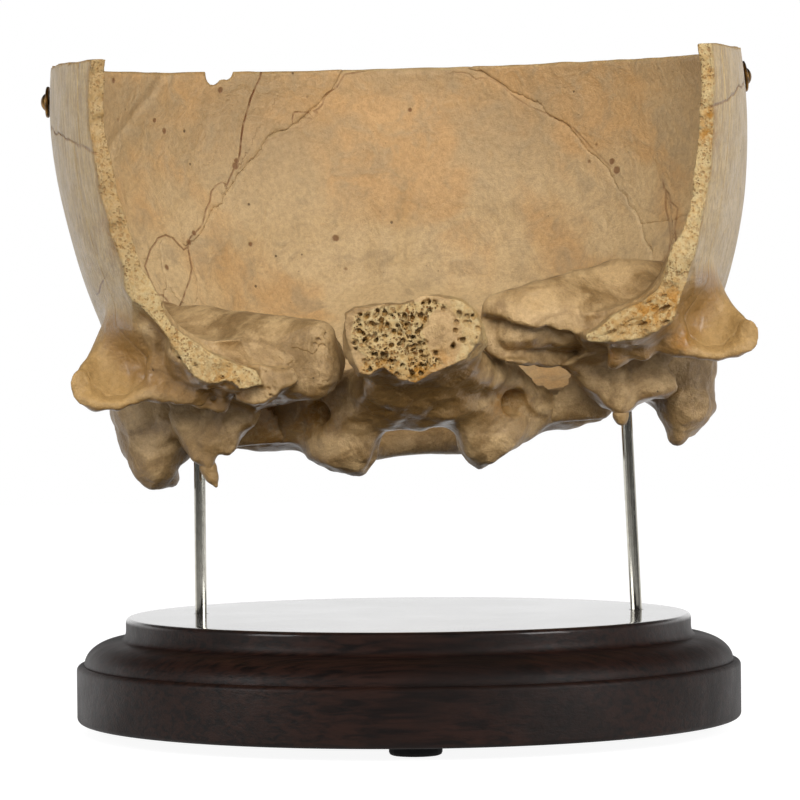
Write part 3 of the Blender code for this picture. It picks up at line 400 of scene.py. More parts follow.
def temporalForm(q, side):
    t = temporal[side]
    form = meet(chain(q, t["petrous"], 4), -10.6 - q[1] + 0.3 * cloud(q, 3.0, 50), 1.5)
    form = join(form, chain(q, t["ridge"], 1.5), 3.5)
    # the slope in front of the ridge and the floor of the middle fossa
    form = join(form, slab(q, t["floor"], -26, 0, 1.5), 2)
    form = join(form, chain(q, t["mastoid"], 3, ((0, 1, 0.2), 0.72)), 4)
    form = join(form, chain(q, t["lobe"], 2), 2)
    # root of the cheek bone's arch: ribs from the side wall to its lower rim, and a tip sawn off square
    end = -13.2 - q[1] + 0.2 * cloud(q, 2.0, 51)
    tip = np.maximum(chain(q, t["ribs"][0], 1.5, ((1, 0.3, 0.1), 1.7)), end)
    root = join(tip, chain(q, [rib[2] for rib in t["ribs"][1:]], 1.0), 1.5)
    for rib in t["ribs"][1:]:
        root = join(root, chain(q, rib, 1.5), 3)
    form = join(form, root, 3)
    # smooth scoop above the rim of the cheek root
    form = carve(form, egg(q, (58.9, -14.4, 1.6 + 0.5 * side), (6.3, 6.8, 7.2)), 3)
    # hollow of the jaw joint and the ear opening behind it
    form = carve(form, egg(q, (50, -3.5, -9.5), (10.5, 5.6, 8.0), (0, 0, 8)), 2.5)
    form = join(form, egg(q, *t["under"]), 3)
    plate = slab(q, t["tympanic"], 0.2, 7.5, 2)
    form = join(form, plate, 1.5)
    form = join(form, chain(q, t["sheath"], 1), 1.2)
    form = carve(form, limb(q, (66, 5, -6.5), (47, 4.5, -7.5), 4.6, 3.2), 1.5)
    # notch inside the mastoid, jugular hollow and inner ear opening
    form = carve(form, chain(q, [(46.5, 8, -25, 2.6), (46.5, 20, -20.5, 3.2), (47, 34, -18, 3.4)], 1), 2)
    form = carve(form, egg(q, (27, 11, -12), (6.5, 6.5, 6.0)), 2)
    form = carve(form, limb(q, (24, 8, 3), (29, 1, 3), 2.6, 1.4), 1)
    # broken front of the petrous bone: hollow on the left, a small shelf on the right
    if side > 0:
        groove = outline(q[0], q[2], t["frontForm"])
        groove = np.maximum(groove, np.maximum(-(form + 3.2), q[1] + 4 - 0.5 * (q[0] - 20)))
        form = carve(form, groove + 0.3 * cloud(q, 1.8, 55), 0.8)
    else:
        form = join(form, slab(q, t["frontForm"], -14, -4, 1), 0.8)
    rough = 0.5 * cloud(q, 5.5, 52) + 0.34 * cloud(q, 2.4, 53) + 0.2 * cloud(q, 1.2, 54)
    smooth = step01(54, 57, q[0]) * step01(2, -4, q[1])
    return form + rough * step01(12, -2, q[2]) * (1 - 0.75 * smooth)


def frontHoles(p, form, side):
    # cells and pores in the broken strip, and pits 0.8 mm deep on the front of the petrous bone
    t = temporal[side]
    if side < 0:
        cut = bubbles(p, scatter(81, 520, (-56, -20.6, -6), (-33, -18.4, 10), (0.14, 0.5), t["strip"]))
        pores = scatter(82, 160, (-36, -15, -9), (-24, -13, -1), (0.14, 0.42), t["shelf"])
        cut = np.minimum(cut, bubbles(p, pores))
    else:
        cells = scatter(83, 36, (38, -21, -1.2), (53, -19.6, 7.5), (0.34, 0.62), t["cells"])
        cut = bubbles(p, cells, (2.6, 3.2, 0.9), 0.35)
        pores = scatter(84, 60, (34, -20.6, -2), (52, -18.6, 9), (0.15, 0.4), t["strip"])
        cut = np.minimum(cut, bubbles(p, pores))
        cut = np.minimum(cut, chain(p, t["slot"]) + 0.05)
    pits = bubbles(p, [(x, -8, z, r) for x, z, r in t["pits"]], (1, 22, 1))
    return np.minimum(cut, np.maximum(pits, -(form + 0.8)))


def temporalField(p, side):
    q = [p[0] * side, p[1], p[2]]
    outer, wall = shell(p)
    behind, above = seamFields(p, side)
    top, front = cuts(p)
    # the wall lies in front of the seam and below the parietal bone
    case = meet(outer, -(outer + wall), 0.8)
    case = np.maximum(case, 34 - q[0] - 20 * step01(8, 20, p[1]))
    case = np.maximum(case, -0.7 * (p[1] + p[2] + 6))
    case = np.maximum(case, above - lap)
    form = join(case, temporalForm(q, side), 4)
    form = np.maximum(form, front)
    form = np.maximum(form, behind - lap)
    form = np.maximum(form, top)
    if side < 0:
        form = np.maximum(form, -suturalField(p) - lap)
    if p[0].ndim == 3 and p[1].min() < -18:
        form = np.maximum(form, -frontHoles(p, form, side))
    return form


# Occipital bone. arms and sideArms: limbs as (points, rounding between them, rounding to the rest)

occipital = {
    "clivus": [(-13.2, 1.0), (-13.1, 4.8), (-12.6, 6.9), (-11.2, 7.9), (-6.7, 8.4), (-2.2, 8.5),
               (1.4, 9.5), (5.4, 9.3), (9.8, 8.0), (11.3, 6.9), (12.4, 5.2), (13.0, 2.6), (12.4, -0.6),
               (9.4, -3.6), (6.5, -4.7), (2.2, -5.4), (-0.8, -7.0), (-3.3, -6.3), (-6.7, -3.6),
               (-9.5, -5.0), (-11.2, -4.4), (-12.4, -1.1)],
    "canals": {
        -1: [(7, 24, -12.5, 1.4), (13, 17, -11.6, 1.4), (19, 9, -11.6, 2.2), (21.5, 2, -11.6, 3.0)],
        1: [(7, 24, -12.5, 1.5), (13, 17, -12.0, 1.6), (18.6, 9, -12.4, 2.6), (22.5, 2, -13.2, 3.2)],
    },
    "arms": [([(7, 3, -9.5, 4.0), (13.5, 11, -12.8, 5.4), (18, 22, -14.5, 5.2), (17, 36, -16.5, 4.4)], 3,
              3),
             ([(8, 0, -5.5, 3.2), (14, 8, -8.2, 3.7), (19.5, 12.5, -9.6, 3.3), (22, 18, -12, 3.2)], 2, 3),
             ([(19, 20, -14.5, 4.4), (30, 21.5, -14.4, 3.7), (39, 23.5, -13.2, 3.3)], 2, 3)],
    "sideArms": {
        -1: [([(19, 12, -9.5, 3.2), (25, 12.5, -10.2, 3.4), (32, 14, -10.5, 3.2)], 2, 2)],
        1: [([(9, -8, -3.4, 3.6), (14.5, 2, -6.2, 3.4), (18.5, 9, -7.8, 3.0), (20, 13, -9, 3)], 2, 2),
            ([(19.5, 8, -7.2, 2.6), (22.0, 9, -10.4, 2.3), (25.8, 10, -13.0, 2.1), (32, 12, -12.6, 2.4)],
             1.5, 1.5)],
    },
    "cells": [(-1.7, 3.8, 0.85), (-8.4, 4.8, 0.6), (-9.6, 1.8, 0.55), (-7.9, -1.0, 0.6), (-1.0, -1.8, 0.8),
              (0.4, 2.6, 0.6), (-3.4, 4.2, 0.5), (-2.5, 1.0, 0.6), (0.8, -2.3, 0.5), (-6.6, -2.2, 0.75),
              (1.2, 5.6, 0.6), (-5.2, 4.4, 0.55), (-4.8, 0.4, 0.5), (-9.2, 6.2, 0.5), (-5.9, 2.2, 0.45),
              (3.0, 6.6, 0.5)],
    "face": [(-12.6, 2.5), (-11.6, 6.6), (-7, 7.8), (-1.5, 8.2), (3.5, 8.4), (7, 7.2), (3, 5), (1.2, 2.8),
             (2.4, -0.6), (5.6, -3.6), (2.2, -5.2), (-0.8, -6.8), (-3.3, -6.2), (-6.7, -3.6), (-9.5, -4.8),
             (-11.2, -4.2), (-10, -1.5), (-12, 0.5)],
    "plug": (5.4, 1.6),
    "condyles": {
        -1: [(-24, -12), (-23.6, -17), (-22.4, -20.9), (-19.6, -22.5), (-12.5, -25.7), (-10.8, -25.5),
             (-10.2, -23.6), (-9.2, -20.5), (-8, -17), (-9, -12)],
        1: [(8.5, -12), (8, -17), (8.7, -22.4), (10, -24.6), (11.9, -25.9), (16, -23.9), (24.3, -19.2),
            (25, -17), (24, -12)],
    },
}


def occipitalForm(p):
    x, y, z = p
    # the block in front: an outline at the broken face that turns into an oval further back
    block = slab(p, occipital["clivus"], -26, -13, 2)
    t = step01(-20, 9, y)
    centre, halfWidth, halfHeight = 1.8 - 15.6 * t, 12.6 - 3.2 * t, 6.8 - 3.9 * t
    k = np.sqrt(((x - 0.2) / halfWidth) ** 2 + ((z - centre + 0.006 * x * x * t) / halfHeight) ** 2)
    body = meet((k - 1) * halfHeight * 0.9, np.maximum(-17 - y, y - 12), 3)
    form = join(block, body, 3)
    for side in (-1, 1):
        q = [x * side, y, z]
        arm = None
        for knots, width, blend in occipital["arms"] + occipital["sideArms"][side]:
            piece = chain(q, knots, width)
            arm = piece if arm is None else join(arm, piece, blend)
        condyle = egg(p, (16.8 * side, 18.5, -17), (9.5, 14, 11), (0, 0, -28 * side))
        condyle = meet(condyle, outline(x, z, occipital["condyles"][side]), 1.5)
        arm = join(arm, condyle, 1.5)
        form = join(form, arm, 3)
    for side in (-1, 1):
        q = [x * side, y, z]
        form = carve(form, chain(q, occipital["canals"][side], 0.5), 0.6)
    rough = 0.4 * cloud(p, 5.5, 62) + 0.28 * cloud(p, 2.4, 63) + 0.15 * cloud(p, 1.2, 64)
    return form + rough


def clivusHoles(p):
    # spongy bone in the broken face, a few larger cells among many small ones, and rough nicks beside it
    cells = scatter(71, 1500, (-12.6, -21.8, -6.5), (8, -19.4, 8.6), (0.22, 0.62), occipital["face"])
    holes = bubbles(p, cells)
    holes = join(holes, bubbles(p, [(x, -20.9, z, r) for x, z, r in occipital["cells"]], (1, 1.3, 1)), 0.15)
    nicks = scatter(72, 420, (7, -21.5, -5), (13.4, -11, 9), (0.25, 0.75))
    return join(holes, bubbles(p, nicks), 0.2)


def occipitalField(p):
    x, y, z = p
    outer, wall = shell(p)
    case = meet(outer, -(outer + wall), 0.8)
    behind = np.where(x < 0, seamFields(p, -1)[0], seamFields(p, 1)[0])
    top = cuts(p)[0]
    case = np.maximum(case, np.minimum(-behind, 30) - lap)
    case = np.maximum(case, 12 - y)
    form = join(case, np.maximum(occipitalForm(p), -basalSide(p) - lap), 4)
    if p[0].ndim == 3 and y.min() < -18:
        form = np.maximum(form, -clivusHoles(p))
    foramen = (np.sqrt((x / 14.6) ** 2 + ((y - 29) / 19.2) ** 2) - 1) * 14 + 0.3 * cloud(p, 3.0, 65)
    form = carve(form, foramen, 2.5)
    form = np.maximum(form, -21.2 - y + 0.35 * cloud(p, 3.0, 66) + 0.2 * cloud(p, 1.4, 67))
    form = np.maximum(form, top)
    return np.maximum(form, (-suturalField(p) - lap) * (x < 0) - 1e3 * (x >= 0))


def parietalField(p, side):
    outer, wall = shell(p)
    behind, above = seamFields(p, side)
    top, front = cuts(p)
    form = meet(outer, -(outer + wall), 0.8)
    form = np.maximum(form, np.maximum(behind, -above) - lap)
    form = np.maximum(form, np.maximum(top, front))
    form = np.maximum(form, -p[0] * side)
    return np.maximum(form, -suturalField(p) - lap) if side < 0 else form


def suturalBone(p):
    outer, wall = shell(p)
    return np.maximum(meet(outer, -(outer + wall), 0.8), suturalField(p) - lap)


# Meshes

def itemOf(name, data):
    item = bpy.data.objects.new(name, data)
    scene.collection.objects.link(item)
    return item


def polygonsOf(field, axes, step):
    grid = openvdb.FloatGrid(2.0)
    grid.copyFromArray(np.clip(field, -2.0, 2.0).astype(np.float32), tolerance=0.0)
    points, triangles, quads = grid.convertToPolygons(isovalue=0.0, adaptivity=0.0)
    start = np.array([axes[i].ravel()[0] for i in range(3)])
    return points.astype(np.float64) * step + start, quads, triangles


def meshOf(name, grids):
    # one closed surface for each grid, carried from the skull's frame to the world's
    points, quads, triangles, count = [], [], [], 0
    for field, axes, step in grids:
        found, four, three = polygonsOf(field, axes, step)
        points.append(found)
        quads.append(four + count)
        triangles.append(three + count)
        count += len(found)
    points, quads, triangles = np.concatenate(points), np.concatenate(quads), np.concatenate(triangles)
    m = np.array(skullToWorld)
    world = (points @ m[:3, :3].T + m[:3, 3]) / 1000
    mesh = bpy.data.meshes.new(name)
    loops = np.concatenate([quads.ravel(), triangles.ravel()]).astype(np.int32)
    starts = np.concatenate([np.arange(len(quads)) * 4, len(quads) * 4 + np.arange(len(triangles)) * 3])
    mesh.vertices.add(len(world))
    mesh.vertices.foreach_set("co", world.ravel().astype(np.float32))
    mesh.loops.add(len(loops))
    mesh.loops.foreach_set("vertex_index", loops)
    mesh.polygons.add(len(starts))
    mesh.polygons.foreach_set("loop_start", starts.astype(np.int32))
    mesh.update(calc_edges=True)
    mesh.validate()
    mesh.shade_smooth()
    print(name, 2 * len(quads) + len(triangles), "triangles")
    return itemOf(name, mesh), points.T


def paint(item, values):
    for name, data in values.items():
        data = np.asarray(data, np.float32)
        layer = item.data.attributes.new(name, "FLOAT_VECTOR" if data.ndim == 2 else "FLOAT", "POINT")
        layer.data.foreach_set("vector" if data.ndim == 2 else "value", data.ravel())


def bone(name, node, field, low, high, steps):
    # steps = (depth in Y where a grid ends, its cell size), finest in front
    grids, near = [], low[1]
    for far, step in steps:
        axes = axesOf((low[0], near, low[2]), (high[0], min(far, high[1]) + 1, high[2]), step)
        block = np.maximum(field(axes), axes[1] - far - 0.25) if far < high[1] else field(axes)
        if near > low[1]:
            block = np.maximum(block, near + 1 - axes[1])
        grids.append((block, axes, step))
        near = far - 1
    item, points = meshOf(name, grids)
    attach(item, "skull")
    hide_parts(node)
    return item, points


def arc(centre, radii, start, end, steps):
    turn = np.radians(np.linspace(start, end, steps + 1))
    return np.stack([centre[0] + radii[0] * np.cos(turn), centre[1] + radii[1] * np.sin(turn)], 1)


def drill(item, cutters):
    # takes closed meshes out of the item and keeps the result as its own mesh
    for cutter in cutters:
        change = item.modifiers.new("drill", "BOOLEAN")
        change.operation, change.object, change.solver = "DIFFERENCE", cutter, "EXACT"
    result = bpy.data.meshes.new_from_object(item.evaluated_get(bpy.context.evaluated_depsgraph_get()))
    item.modifiers.clear()
    item.data = result
    result.set_sharp_from_angle(angle=math.radians(35))
    for cutter in cutters:
        bpy.data.objects.remove(cutter)


def turned(name, profile, centre, axis, count=64):
    # rows of (place along the axis, radius) swept round it; both ends lie on the axis
    profile = np.array(profile)
    turn = np.linspace(0, 2 * np.pi, count, endpoint=False)
    along = Vector(axis).normalized()
    across = along.orthogonal().normalized()
    frameRows = np.array([across, along.cross(across), along])
    ring = np.stack([profile[1:-1, 1:] * np.cos(turn), profile[1:-1, 1:] * np.sin(turn),
                     np.repeat(profile[1:-1, :1], count, 1)], 2).reshape(-1, 3)
    ends = [[0, 0, profile[0, 0]], [0, 0, profile[-1, 0]]]
    points = np.concatenate([ring, ends]) @ frameRows + np.array(centre)
    rows = len(profile) - 2
    i, j = np.meshgrid(np.arange(rows - 1), np.arange(count), indexing="ij")
    after = (j + 1) % count
    low, high = i * count, (i + 1) * count
    quads = np.stack([low + j, low + after, high + after, high + j], 2).reshape(-1, 4)
    start, end, last = len(ring), len(ring) + 1, (rows - 1) * count
    caps = [(start, (k + 1) % count, k) for k in range(count)]
    caps += [(end, last + k, last + (k + 1) % count) for k in range(count)]
    mesh = bpy.data.meshes.new(name)
    mesh.from_pydata((points / 1000).tolist(), [], quads.tolist() + caps)
    mesh.validate()
    mesh.shade_smooth()
    mesh.set_sharp_from_angle(angle=math.radians(35))
    return itemOf(name, mesh)


# The wooden base, in millimetres: a plinth, a bead on a ledge, a cove and a lip
base = {
    "radius": 66.2, "plinth": 11.3, "ledge": 1.5, "bead": (7.2, 4.9), "cove": (1.1, 1.9), "lip": 2.5,
    "lipRound": 0.9, "plinthRound": 1.0, "turns": 288, "holes": ((-41.8, 0.0), (46.0, 2.4)),
    "holeRadius": 1.48, "holeY": 5.6, "holeFloor": 8.5, "holeEnd": 30.0,
}
coveTop = base["plinth"] + base["bead"][1] + base["cove"][1]
baseTop = coveTop + base["lip"]


def baseProfile():
    # rows of (radius, height) from the rim of the underside up to near the middle of the top
    neck = base["radius"] - base["ledge"] - base["bead"][0]
    flat = neck - base["cove"][0] - base["lipRound"]
    lip, edge = base["lipRound"], base["plinthRound"]
    return np.concatenate([
        arc((base["radius"] - edge, edge), (edge, edge), -90, 0, 8),
        arc((base["radius"] - edge, base["plinth"] - edge), (edge, edge), 0, 90, 8),
        arc((neck, base["plinth"]), base["bead"], 0, 82, 24),
        arc((neck, coveTop), base["cove"], 270, 180, 10),
        arc((flat, baseTop - lip), (lip, lip), 0, 90, 10),
        np.stack([np.linspace(flat, 0.0, 40)[1:-1], np.full(38, baseTop)], 1),
    ])


rows = [(0.0, 0.0)] + [(height, radius) for radius, height in baseProfile()] + [(baseTop, 0.0)]
woodenBase = turned("woodenBase", rows, (0, 0, 0), (0, 0, 1), base["turns"])
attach(woodenBase, "stand")
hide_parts("wooden_base")
start, end, radius = base["holeFloor"], base["holeEnd"], base["holeRadius"]
bore = [(start, 0), (start, radius), (end, radius), (end, 0)]
bores = []
for x, lean in base["holes"]:
    s, c = math.sin(math.radians(lean)), math.cos(math.radians(lean))
    bores.append(turned("bore", bore, (x + baseTop * s, base["holeY"], 0), (-s, 0, c)))
drill(woodenBase, bores)
print("base turned")

# Brass pins: a low dome on a thin dished washer at each side of the vault
pins = {
    "right": {"centre": (-73.55, 25.3, 125.6), "axis": (-0.9995, 0.01, 0.02)},
    "left": {"centre": (71.1, 29.2, 129.9), "axis": (0.992, 0.05, 0.115)},
    "washer": [(-0.34, 0), (-0.34, 2.9), (-0.26, 3.15), (-0.05, 3.25), (0.2, 3.2), (0.32, 3.0),
               (0.36, 2.2), (0.30, 1.0), (0.30, 0)],
    "dome": [(-4.2, 0), (-4.2, 0.6), (0.28, 0.62), (0.28, 1.72), (0.42, 1.82), (0.66, 1.72), (0.98, 1.42),
             (1.26, 0.98), (1.42, 0.5), (1.47, 0)],
}
brassItems = []
for where in ("right", "left"):
    for part, node in (("dome", "hook_screw_"), ("washer", "hook_washer_")):
        item = turned("pin_" + part + "_" + where, pins[part], pins[where]["centre"], pins[where]["axis"])
        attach(item, "skull")
        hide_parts(node + where)
        brassItems.append(item)

bones = {}
bones["occipital"] = bone("occipital", "occipital_bone", occipitalField, (-60, -23, -28), (60, 99, 68),
                          ((-17, 0.3), (27, 0.58), (99, 0.96)))
for side, where in ((-1, "right"), (1, "left")):
    low, high = sorted((side * 8, side * 72))
    bones["temporal_" + where] = bone("temporal_" + where, "temporal_bone_" + where,
                                      lambda p, s=side: temporalField(p, s), (low, -23, -28), (high, 70, 54),
                                      ((-10.5, 0.36), (32, 0.54), (70, 0.8)))
    low, high = sorted((side * -1, side * 73))
    bones["parietal_" + where] = bone("parietal_" + where, "parietal_bone_" + where,
                                      lambda p, s=side: parietalField(p, s), (low, -23, 20), (high, 98, 70),
                                      ((-14, 0.4), (98, 0.62)))
bones["sutural"] = bone("sutural", "sutural_bone", suturalBone, (-66, 48, 8), (-36, 82, 36), ((82, 0.5),))
# Broken stubs of the styloid processes, as (x, y, z, radius)
styloids = {
    "right": [(-43.0, 3.0, -18.6, 1.2), (-42.6, 3.2, -21.2, 1.5), (-42.0, 3.2, -23.2, 1.2),
              (-41.4, 3.2, -24.8, 0.5)],
    "left": [(40.4, 2.4, -14.8, 1.4), (40.6, 2.6, -16.7, 1.5), (40.7, 2.6, -17.8, 1.1)],
}
for where, spots in styloids.items():
    axes = axesOf((spots[0][0] - 4, -2, -28), (spots[0][0] + 5, 7, -11), 0.3)
    field = chain(axes, spots, 0.8, ((0.2, 1, 0), 0.8)) + 0.12 * cloud(axes, 1.6, 91)
    item, points = meshOf("styloid_stub_" + where, [(field, axes, 0.3)])
    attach(item, "skull")
    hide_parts("styloid_process_" + where)
    bones["styloid_" + where] = item, points
print("bones meshed")


# Marks that the materials read from each vertex.
# inner, outer: lines on the inner wall and outside on the cheek root, as strength and (x, z) points.
# rust: rust-coloured places as (x, y, z, radius, strength). spots: small dark places as (x, y, z, radius).
# last, the line of a painted shade band under the broken strip as (x, z) points, for both sides
marks = {
    "inner": [(0.85,
               [(-26.7, 64.2), (-27.0, 62.9), (-28.3, 60.7), (-29.4, 58.6), (-30.5, 55.5), (-31.5, 52.9),
                (-32.1, 50.2), (-32.6, 47.1), (-33.0, 45.1), (-33.8, 43.8)]),
              (0.55,
               [(-33.8, 43.8), (-35.3, 41.0), (-36.0, 39.4), (-37.1, 40.1), (-38.5, 39.3), (-39.6, 38.0),
                (-40.0, 35.8), (-41.0, 34.0), (-41.6, 31.8), (-42.1, 30.5), (-43.4, 29.2), (-44.8, 27.9),
                (-45.4, 25.9)]),
              (0.6,
               [(-54.5, 22.0), (-53.2, 25.6), (-52.0, 27.2), (-51.5, 28.1), (-49.8, 28.7), (-48.4, 28.0),
                (-47.4, 26.7), (-46.2, 25.3), (-45.4, 25.9), (-45.1, 23.5), (-44.8, 21.3), (-45.4, 18.6),
                (-46.4, 16.5), (-47.3, 13.9), (-48.0, 12.8), (-49.5, 12.7), (-50.2, 14.2), (-51.2, 15.6),
                (-52.2, 15.6), (-53.3, 18.1), (-54.5, 22.0)]),
              (0.5,
               [(-4.6, 63.1), (-8.0, 62.9), (-9.0, 61.6), (-10.2, 59.9), (-12.3, 58.9), (-13.1, 57.9),
                (-13.6, 56.3), (-14.6, 55.5), (-16.5, 54.8), (-18.7, 55.1), (-20.1, 55.1), (-20.6, 53.3)]),
              (0.16,
               [(-14.2, 54.6), (-17.1, 52.7), (-18.5, 51.4), (-20.7, 51.6), (-21.7, 50.7), (-24.5, 49.7),
                (-26.7, 49.1), (-27.3, 47.4), (-28.8, 45.7), (-31.0, 44.8), (-32.9, 43.1)]),
              (0.3,
               [(17.3, 61.4), (19.5, 61.0), (21.1, 59.5), (23.4, 59.7), (26.1, 58.3), (29.2, 54.8),
                (32.5, 52.2), (36.6, 49.8), (41.4, 46.3), (44.5, 41.9), (48.2, 37.0)]),
              (0.45,
               [(58.4, 32.4), (58.4, 30.7), (59.2, 29.2), (59.4, 27.4), (60.6, 25.9), (60.2, 24.2),
                (59.6, 21.3), (59.5, 18.6)]),
              (0.4, [(58.7, 30.2), (58.3, 25.9), (58.7, 23.6), (58.7, 20.1), (58.0, 16.7), (56.5, 14.7)])],
    "outer": [(0.7,
               [(-66.0, 17.4), (-64.4, 17.2), (-63.7, 15.8), (-63.0, 15.6), (-62.2, 14.9), (-61.4, 15.2),
                (-60.8, 16.6), (-60.2, 17.3)])],
    "rust": [(-6.5, -20.5, -4.0, 3.2, 0.7), (0.5, -20.5, -5.6, 3.6, 0.9), (-10, -20.5, -3.6, 1.6, 0.6),
             (5, -20.5, -3, 2, 0.6), (45.5, -20, 3.2, 4.2, 0.9), (50.5, -20, 5.2, 3.2, 0.9),
             (40, -20, 0.6, 2.5, 0.5), (52.3, -12, -3.0, 2.4, 0.8), (38.0, -11, -4.6, 1.5, 0.9),
             (-49.5, -20, 5.6, 1.4, 0.7), (-46.5, -20, 4.2, 1.2, 0.6), (-38, -17, -4.0, 3.6, 0.7),
             (-36, -14, -3.2, 3.0, 0.6), (-33.4, -14, -2.6, 1.8, 0.7), (-20, 8, -11.6, 3.6, 1.0),
             (-22.5, 14, -14, 3.5, 0.6), (-17.4, -8, 2.2, 1.6, 0.4), (17.2, 8, -12.0, 2.9, 1.0),
             (20.5, 6, -12.6, 2.6, 0.7), (24.6, -6, 6.1, 0.9, 0.8), (59.7, -20.6, 37.0, 2.6, 0.9),
             (60.5, -20.6, 40.5, 1.6, 0.9), (61.2, -20.4, 48, 1.4, 0.4), (-60.0, -20.6, 27, 2.4, 0.6),
             (-58.2, -20.6, 22.5, 1.8, 0.7), (8.5, -14, 2.5, 2.6, 0.5), (-30, 16, -14, 5, 0.6)],
    "spots": [(-58.4, 55.5, 62.1, 0.55), (-58.3, 57.3, 53.8, 0.4), (-50.4, 67.6, 53.9, 0.4),
              (-48.6, 69.8, 51.6, 0.55), (-49.9, 62.7, 21.7, 0.6), (-41.7, 67.8, 12.5, 0.4),
              (-31.7, 80.3, 26.0, 0.5), (6.0, 91.1, 53.9, 0.35), (-12.8, 88.0, 26.3, 0.75),
              (-11.1, 86.7, 19.2, 0.4), (1.7, 91.5, 44.5, 0.35), (30.5, 83.5, 58.9, 0.4),
              (20.3, 88.4, 50.0, 0.35), (25.7, 86.0, 33.9, 0.4), (32.5, 79.6, 19.1, 0.35),
              (38.7, 79.3, 46.6, 0.4), (40.1, 78.3, 45.5, 0.5), (45.5, 73.9, 42.0, 0.5),
              (49.4, 69.9, 35.9, 0.9), (48.6, 71.0, 38.0, 0.7), (43.8, 75.3, 38.6, 0.5),
              (-33.9, 81.9, 43.6, 0.8), (-33.5, 82.2, 44.8, 0.5), (-35.8, 79.8, 60.4, 0.6),
              (-43.9, 71.2, 28.9, 0.5), (-45.1, 69.6, 27.0, 0.6), (-2.9, 91.3, 40.0, 0.5),
              (-2.4, 91.0, 36.6, 0.7), (3.4, 90.4, 31.3, 0.6)],
    "shadeBand": [(58.5, 7), (54, 0.5), (48, -3.0), (42, -5.6), (37, -7)],
}


def signedDistance(u, v, points):
    # distance in a plane to an open row of points, negative on one side of it
    best = np.full(u.shape, 1e9)
    side = np.ones(u.shape)
    for (ax, ay), (bx, by) in zip(points[:-1], points[1:]):
        dx, dy = bx - ax, by - ay
        t = np.clip(((u - ax) * dx + (v - ay) * dy) / (dx * dx + dy * dy), 0, 1)
        d = np.hypot(u - ax - t * dx, v - ay - t * dy)
        nearer = d < best
        best = np.where(nearer, d, best)
        side = np.where(nearer, np.sign(dx * (v - ay) - dy * (u - ax)), side)
    return best * np.where(side == 0, 1, side)


def markBone(name, item, p):
    x, y, z = p
    side = -1 if name.endswith("right") or name == "sutural" else 1
    outer, wall = shell(p)
    top, broken = cuts(p)
    normals = np.empty(3 * len(item.data.vertices), np.float32)
    item.data.vertex_normals.foreach_get("vector", normals)
    up = normals[2::3]
    if name == "occipital":
        seam, seamPower = np.where(x < 0, seamFields(p, -1)[0], seamFields(p, 1)[0]), 0.4
        face = -21.2 - y + 0.35 * cloud(p, 3.0, 66) + 0.2 * cloud(p, 1.4, 67)
        cut = step01(4.6, 3.0, np.abs(face)) * step01(0.2, -0.4, outline(x, z, occipital["face"]))
        cut = np.maximum(cut, step01(6.5, 8.0, x) * step01(-10, -13, y) * 0.5 * step01(-6, -3, z))
        plugX, plugZ = occipital["plug"]
        cut = cut * step01(0.9, 1.05, np.hypot((x - plugX) / 3.6, (z - plugZ) / 5.6))
        # painted shade under the clivus, low on the block between its broken face and y 8
        shade = step01(-19.5, -17, y) * step01(8, -8, y) * step01(-3.2, -5.2, z) * step01(15, 10, np.abs(x))
    else:
        seam, above = seamFields(p, side)
        seamPower = 0.55
        if name != "sutural":
            seam = np.where(np.abs(seam) < np.abs(above), seam, above)
        cut = 0.74 * step01(1.6, 0.5, np.abs(broken))
        # painted shade: a dark band between the broken strip and the rim below it
        strip = lineDistance(x * side, z, marks["shadeBand"])
        shade = step01(5.2, 2.2, strip) * step01(-18.8, -16.5, y) * step01(-4, -8, y)
    # outer table, saw cut, and how much the surface belongs to the base rather than to the vault
    onWall = step01(1.1, 0.5, np.abs(outer + wall))
    outside = step01(-0.7, -0.3, outer) * step01(2.6, 1.2, outer)
    outside = outside * np.maximum(step01(3, 12, z), step01(28, 40, y))
    saw = step01(0.5, 0.25, np.abs(top))
    cut = np.maximum(cut, saw * 0.5)
    basal = (1 - onWall * step01(8, 14, z + 0.5 * y)) * (1 - outside) * step01(26, 16, z)
    waxy = step01(52, 56.5, np.abs(x)) * step01(2, -3, y) * step01(14, 7, z) * (z > -8)
    waxy = waxy + 0.4 * name.startswith("styloid")
    inside = (1 - outside) * (y > 18) * (z > 8)
    crack, depth = np.full(x.shape, 5.0), np.zeros(x.shape)
    for where, group in ((inside > 0.5, "inner"), ((outside > 0.5) & (y < 0) & (x < 0), "outer")):
        for power, points in marks[group]:
            d = signedDistance(x, z, points)
            nearer = where & (np.abs(d) < np.abs(crack))
            crack, depth = np.where(nearer, d, crack), np.where(nearer, power, depth)
    rust = np.zeros(x.shape)
    for cx, cy, cz, radius, power in marks["rust"]:
        away = (x - cx) ** 2 + (y - cy) ** 2 / 4 + (z - cz) ** 2
        rust = np.maximum(rust, power * np.exp(-away / radius ** 2))
    if name == "occipital":
        rust = np.maximum(rust, 0.62 * cut * step01(-0.25, -1.1, face) * (np.abs(x) < 13) * (y < -15))
    else:
        rust = np.maximum(rust, 0.6 * cut * step01(-0.4, -1.2, broken))
        # painted shade on the upper part of the broken strip on the skull's right side
        shade = np.maximum(shade, 0.75 * cut * step01(10, 30, z) * (x < 0))
    # painted shade: base surfaces that face downwards, and the painted shade bands, are marked for the dark
    # under colour
    below = np.maximum(basal, step01(12, 4, z)) * step01(-24, -12, z)
    under = np.maximum(step01(-0.2, -0.85, up) * below * (1 - 0.9 * cut), shade)
    paint(item, {"place": p.T, "outside": outside, "cut": cut, "basal": basal, "under": under, "rust": rust,
                 "waxy": waxy, "seam": seam, "seamStrength": seamPower * outside * (outer < 0.6),
                 "crack": crack, "crackStrength": depth})


for name, (item, points) in bones.items():
    markBone(name, item, points)
print("bones marked")


# Materials

def tone(red, green, blue):
    # a display colour of 0 to 255 as linear light
    shares = [c / 255 for c in (red, green, blue)]
    return tuple(((s + 0.055) / 1.055) ** 2.4 if s > 0.04 else s / 12.92 for s in shares) + (1,)


